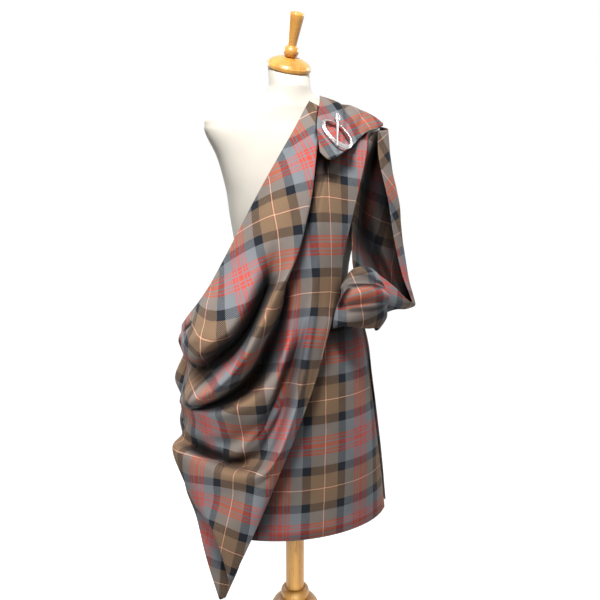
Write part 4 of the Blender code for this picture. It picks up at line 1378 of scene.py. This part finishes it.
def turn_outwards(piece):
    """Turns a closed mesh's faces outwards, judged by the volume they enclose, and softens its shading
    except at sharp edges."""
    mesh = piece.data
    points = np.empty(len(mesh.vertices) * 3)
    mesh.vertices.foreach_get("co", points)
    mesh.calc_loop_triangles()
    corner = np.empty(len(mesh.loop_triangles) * 3, np.int32)
    mesh.loop_triangles.foreach_get("vertices", corner)
    a, b, c = points.reshape(-1, 3)[corner.reshape(-1, 3)].swapaxes(0, 1)
    if np.sum(a * np.cross(b, c)) < 0:
        mesh.flip_normals()
    mesh.set_sharp_from_angle(angle=SHARP)


def make_stand():
    """The pole, the bead threaded on it, the hub and its three legs."""
    low, high = pole_low.z, pole_high.z
    wooden("stand_pole", ((0.0, high), (POLE_RADIUS, high), (POLE_RADIUS, low), (0.0, low)))
    bead_low, bead_high = (corner.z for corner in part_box("stand_bead"))
    middle = (bead_low + bead_high) / 2
    half = (bead_high - bead_low) / 2
    bore = POLE_RADIUS + GAP
    reach = BEAD_RADIUS - bore - BEAD_SHOULDER
    rounds = np.radians(np.linspace(90, -90, BEAD_STEPS))
    bead = [(BEAD_RADIUS - reach + reach * math.cos(a), middle + half * math.sin(a)) for a in rounds]
    turned("stand_bead", [(bore, bead_high), *bead, (bore, bead_low)], beech)
    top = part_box("stand_hub")[1].z
    wooden("stand_hub", [(radius, top - drop) for radius, drop in HUB], samples=140)
    for side, degrees in LEG_TURNS.items():
        make_leg(side, degrees)


# The neck's turned cap, and the spindle with its bead that stands on it: (radius, height over the neck).
NECK_RIM = NECK_RADIUS + 0.0032
NECK_CAP = (
    (0.0, 0.0240), (0.0175, 0.0240), (0.0240, 0.0228), (0.0300, 0.0205), (0.0352, 0.0182),
    (0.0400, 0.0155), (0.0430, 0.0134), (0.0450, 0.0112), (0.0452, 0.0100), (NECK_RIM, 0.0084),
    (NECK_RIM, 0.0020), (NECK_RIM - 0.0014, GAP), (0.0, GAP),
)
FINIAL = (
    (0.0, 0.1140), (0.0060, 0.1138), (0.0120, 0.1128), (0.0144, 0.1112), (0.0152, 0.1085),
    (0.0150, 0.1030), (0.0138, 0.0920), (0.0125, 0.0800), (0.0112, 0.0700), (0.0100, 0.0600),
    (0.0093, 0.0530), (0.0092, 0.0480), (0.0100, 0.0462), (0.0126, 0.0446), (0.0145, 0.0420),
    (0.0158, 0.0390), (0.0162, 0.0355), (0.0157, 0.0318), (0.0145, 0.0290), (0.0127, 0.0268),
    (0.0110, 0.0255), (0.0104, 0.0248), (0.0100, 0.0240 + GAP), (0.0, 0.0240 + GAP),
)


def make_neck_block():
    """The cap and the spindle, leaning with the neck."""
    wooden("form_neck_block", NECK_CAP, neck_frame(), samples=150)
    wooden("form_finial", FINIAL, neck_frame(), samples=150)


# ---- the brooch ----

BROOCH_PLACE = (0.0627, -0.0960, 1.3623)
BROOCH_OUT = (0.276, -0.755, 0.595)
BROOCH_LONG = (0.646, -0.313, -0.696)
BROOCH_PIN_UP = (0.186, 0.649, 0.738)
BROOCH_OVAL = 0.70

RING_INSIDE = 0.0330
RING_OUTSIDE = 0.0400
RING_HEIGHT = 0.0064
BEVEL_START = 0.0346
BEVEL_WIDTH = 0.0048
BEVEL_FALL = 0.0034
BEVEL_FOOT = 0.0026
KNOTS = 13
KNOT_SWING = 0.28
KNOT_WIDTH = 0.12
INNER_BEADS = 52
INNER_RIM = (0.0334, 0.0348)
"""The beads' least and greatest radius on the inner rim."""
OUTER_BEADS = 60
OUTER_RIM = (0.0390, 0.002)
"""The beads' least radius and least height on the outer rim."""
RAISED = (0.00045, 0.00035, 0.0003)
"""How far the interlace and the beads stand up, and how far the ground between is cut down."""

# The pin's profile: (radius, place along it from the ring's middle). Its head's widest round, at
# PIN_REST, rests on the ring.
PIN_HEAD = 0.0066
PIN_REST = 0.0305
PIN = (
    (0.0, 0.0460), (0.0022, 0.0454), (0.0030, 0.0435), (0.0020, 0.0415), (0.0045, 0.0395),
    (0.0060, 0.0360), (PIN_HEAD, PIN_REST), (0.0056, 0.0265), (0.0030, 0.0240), (0.0036, 0.0225),
    (0.0026, 0.0210), (0.0022, 0.0000), (0.0015, -0.0300), (0.0005, -0.0415), (0.0, -0.0420),
)
PIN_LOWER = 0.0006
"""How far the head is let down on to the ring."""
PIN_TILT = math.radians(4)
PIN_ASIDE = -0.005
LATTICE = (0.0262, 0.0402)
"""The places along the pin between which its head is cut."""
LATTICE_FADE = 0.002
LATTICE_DEPTH = 0.14
LATTICE_PITCH = 900
LATTICE_TURNS = 5


def face_frame(place, out, along):
    """A frame at a place: Z is out of the face, and Y runs along it."""
    out = Vector(out).normalized()
    along = Vector(along)
    along = (along - out * along.dot(out)).normalized()
    turn = Matrix((along.cross(out), along, out)).transposed().to_4x4()
    turn.translation = Vector(place)
    return turn


def ring_profile():
    """The ring's section: its bore, inner rim, sloping bevel and outer edge."""
    bore = [(RING_INSIDE, height) for height in (0.0, 0.0020, 0.0040, 0.0058)]
    rim = [(radius, RING_HEIGHT) for radius in (0.0336, 0.0341, BEVEL_START)]
    slope = np.linspace(0.08, 1.0, 12)
    bevel = [(BEVEL_START + BEVEL_WIDTH * s, RING_HEIGHT - BEVEL_FALL * s) for s in slope]
    edge = [(0.0397, BEVEL_FOOT)] + [(RING_OUTSIDE, height) for height in (0.0022, 0.0011, 0.0)]
    return np.array(bore + rim + bevel + edge)


def chased(grid, angle):
    """The ring's relief: two waves cross 26 times round, the surface follows whichever lies on top, and
    beads stand on the rims."""
    radius, height = ring_profile().T[..., None]
    down = np.clip((radius - BEVEL_START) / BEVEL_WIDTH, 0, 1) * (height > BEVEL_FOOT)
    swing = KNOT_SWING * np.sin(KNOTS * angle)
    waves = [np.exp(-((down - 0.5 + side * swing) / KNOT_WIDTH) ** 2) for side in (-1, 1)]
    on_bevel = (down > 0.02) * (down < 0.98)
    inner = np.abs(np.sin(INNER_BEADS * angle)) * ((radius > INNER_RIM[0]) & (radius < INNER_RIM[1]))
    outer = np.abs(np.sin(OUTER_BEADS * angle)) * ((radius > OUTER_RIM[0]) & (height > OUTER_RIM[1]))
    knot, bead, ground = RAISED
    out = grid.copy()
    out[..., 2] += knot * np.maximum(*waves) * on_bevel + bead * (inner + outer) - ground * on_bevel
    return out


def cut(grid, angle):
    """The pin's relief: a lattice of small lozenges on the head, cut where two helices cross."""
    z = grid[..., 2]
    low, high = LATTICE
    head = np.clip((z - low) / LATTICE_FADE, 0, 1) * np.clip((high - z) / LATTICE_FADE, 0, 1)
    one, other = (np.abs(np.sin(LATTICE_TURNS * angle + way * z * LATTICE_PITCH)) for way in (1, -1))
    out = grid.copy()
    out[..., :2] *= (1 - head * LATTICE_DEPTH * (1 - (one * other) ** 0.5))[..., None]
    return out


def make_brooch():
    """The open ring, its bevel chased with interlace and its rims beaded, and the pin across it with a
    head cut like a thistle."""
    seat = face_frame(BROOCH_PLACE, BROOCH_OUT, BROOCH_LONG)
    drawn_in = Matrix.Diagonal((BROOCH_OVAL, 1.0, 1.0, 1.0))
    turned("brooch_ring", ring_profile(), silver, seat @ drawn_in, sides=624, relief=chased)
    seat = face_frame(BROOCH_PLACE, BROOCH_OUT, BROOCH_PIN_UP)
    height = RING_HEIGHT + GAP + PIN_HEAD - PIN_REST * math.sin(PIN_TILT) - PIN_LOWER
    above = Matrix.Translation((PIN_ASIDE, 0.0, height))
    along = Matrix.Rotation(PIN_TILT - math.pi / 2, 4, "X")
    seat = seat @ above @ along
    turned("brooch_pin", smooth_corners(PIN, 260), silver, seat, sides=80, relief=cut)


# ---- floor, camera and light ----

FLOOR_RADIUS = 24.0
FLOOR_SIDES = 96
FLOOR_GREY = (0.84, 0.84, 0.84)
GLOW_FROM = 0.5
GLOW_FULL = 3.2
NEAR_GLOW = 0.7
"""The floor's own light near the stand, as a share of what it has past GLOW_FULL."""
FORM_TURN = math.radians(16)
CAMERA_PLACE = (0.0122, -1.44, 1.26)
CAMERA_DOWN = math.radians(10)
LENS = 39.0
SENSOR = 36.0
WHITE = (1.0, 1.0, 1.0)
BLACK = (0.0, 0.0, 0.0)
AMBIENT = 0.08
"""Light from all round on the object, against the white that is seen."""

# The lamps: name, place and target as in_room takes them, width, power and spread in degrees.
LAMPS = (
    ("key", (-0.10, -0.92, 2.35), (0.0, 0.0, 1.3), 0.35, 36.0, 180.0),
    ("swag", (-0.95, -1.00, 1.80), (-0.16, -0.20, 0.86), 0.25, 0.6, 30.0),
    ("fill", (0.6, -2.0, 2.3), (0.0, 0.0, 1.3), 1.2, 2.0, 180.0),
    ("stand", (0.25, -1.3, 0.24), (0.0, 0.0, 0.28), 0.2, 0.22, 22.0),
    ("back_left", (-1.5, 1.7, 2.2), (0.0, 0.0, 1.1), 0.9, 26.0, 180.0),
    ("back_right", (1.7, 1.2, 2.1), (0.0, 0.0, 1.1), 0.9, 26.0, 180.0),
)


def in_room(across, back, height):
    """A place given as the camera sees the room: across to its right, back away from it, height up."""
    x = math.cos(FORM_TURN) * across + math.sin(FORM_TURN) * back
    y = -math.sin(FORM_TURN) * across + math.cos(FORM_TURN) * back
    return Vector((x + FOOT[0], y + FOOT[1], height))


def soft_share(tree):
    """How much of the white backdrop's light counts: all of it where it is seen or mirrored, and
    AMBIENT where it falls on matt cloth."""
    soft = node(tree, "ShaderNodeLightPath").outputs["Is Diffuse Ray"]
    return math_node(tree, "MULTIPLY_ADD", soft, AMBIENT - 1.0, 1.0)


def make_floor():
    """A plain pale floor, lit from within further out, so that it meets the white backdrop softly."""
    material, tree, shader = finish("floor", Roughness=0.9, Emission_Color=(*WHITE, 1.0))
    away = node(tree, "ShaderNodeVectorMath", {0: object_place(tree)}, operation="LENGTH").outputs["Value"]
    limits = {0: away, 1: GLOW_FROM, 2: GLOW_FULL}
    far = node(tree, "ShaderNodeMapRange", limits, interpolation_type="SMOOTHSTEP").outputs[0]
    grey = bands(tree, far, ((0.0, FLOOR_GREY), (1.0, BLACK)), True)
    tree.links.new(grey, shader.inputs["Base Color"])
    glow = math_node(tree, "MULTIPLY_ADD", far, 1.0 - NEAR_GLOW, NEAR_GLOW)
    tree.links.new(math_node(tree, "MULTIPLY", glow, soft_share(tree)), shader.inputs["Emission Strength"])
    angle = around(FLOOR_SIDES)
    rim = np.stack([FLOOR_RADIUS * np.cos(angle), FLOOR_RADIUS * np.sin(angle), 0 * angle], axis=-1)
    floor = new_mesh("floor", rim, [range(FLOOR_SIDES)], material, smooth=False)


def make_camera():
    """The camera, level from side to side and looking a little down."""
    lens = bpy.data.cameras.new("camera")
    lens.lens = LENS
    lens.sensor_width = SENSOR
    camera = bpy.data.objects.new("camera", lens)
    camera.location = in_room(*CAMERA_PLACE)
    camera.rotation_euler = (math.pi / 2 - CAMERA_DOWN, 0.0, -FORM_TURN)
    bpy.context.scene.collection.objects.link(camera)
    bpy.context.scene.camera = camera


def make_lamp(name, place, target, width, power, spread):
    """A square soft light at a place in the room, turned to its target; spread is its cone in degrees."""
    light = bpy.data.lights.new(name, "AREA")
    light.size = width
    light.energy = power
    light.spread = math.radians(spread)
    lamp = bpy.data.objects.new(name, light)
    lamp.location = in_room(*place)
    lamp.rotation_euler = (in_room(*target) - lamp.location).to_track_quat("-Z", "Y").to_euler()
    bpy.context.scene.collection.objects.link(lamp)


def make_light():
    """White all round for the eye, with less light from it on the cloth, and lamps."""
    world = bpy.data.worlds.new("studio")
    world.use_nodes = True
    backdrop = world.node_tree.nodes["Background"]
    backdrop.inputs["Color"].default_value = (*WHITE, 1.0)
    world.node_tree.links.new(soft_share(world.node_tree), backdrop.inputs["Strength"])
    bpy.context.scene.world = world
    bpy.context.scene.view_settings.view_transform = "Standard"
    for lamp in LAMPS:
        make_lamp(*lamp)


tartan = make_tartan()
jersey = make_jersey()
beech = make_beech()
silver = make_silver()
make_form()
make_neck_block()
make_stand()
make_brooch()
make_kilt()
make_waistband()
make_plaid()
make_floor()
make_light()
make_camera()
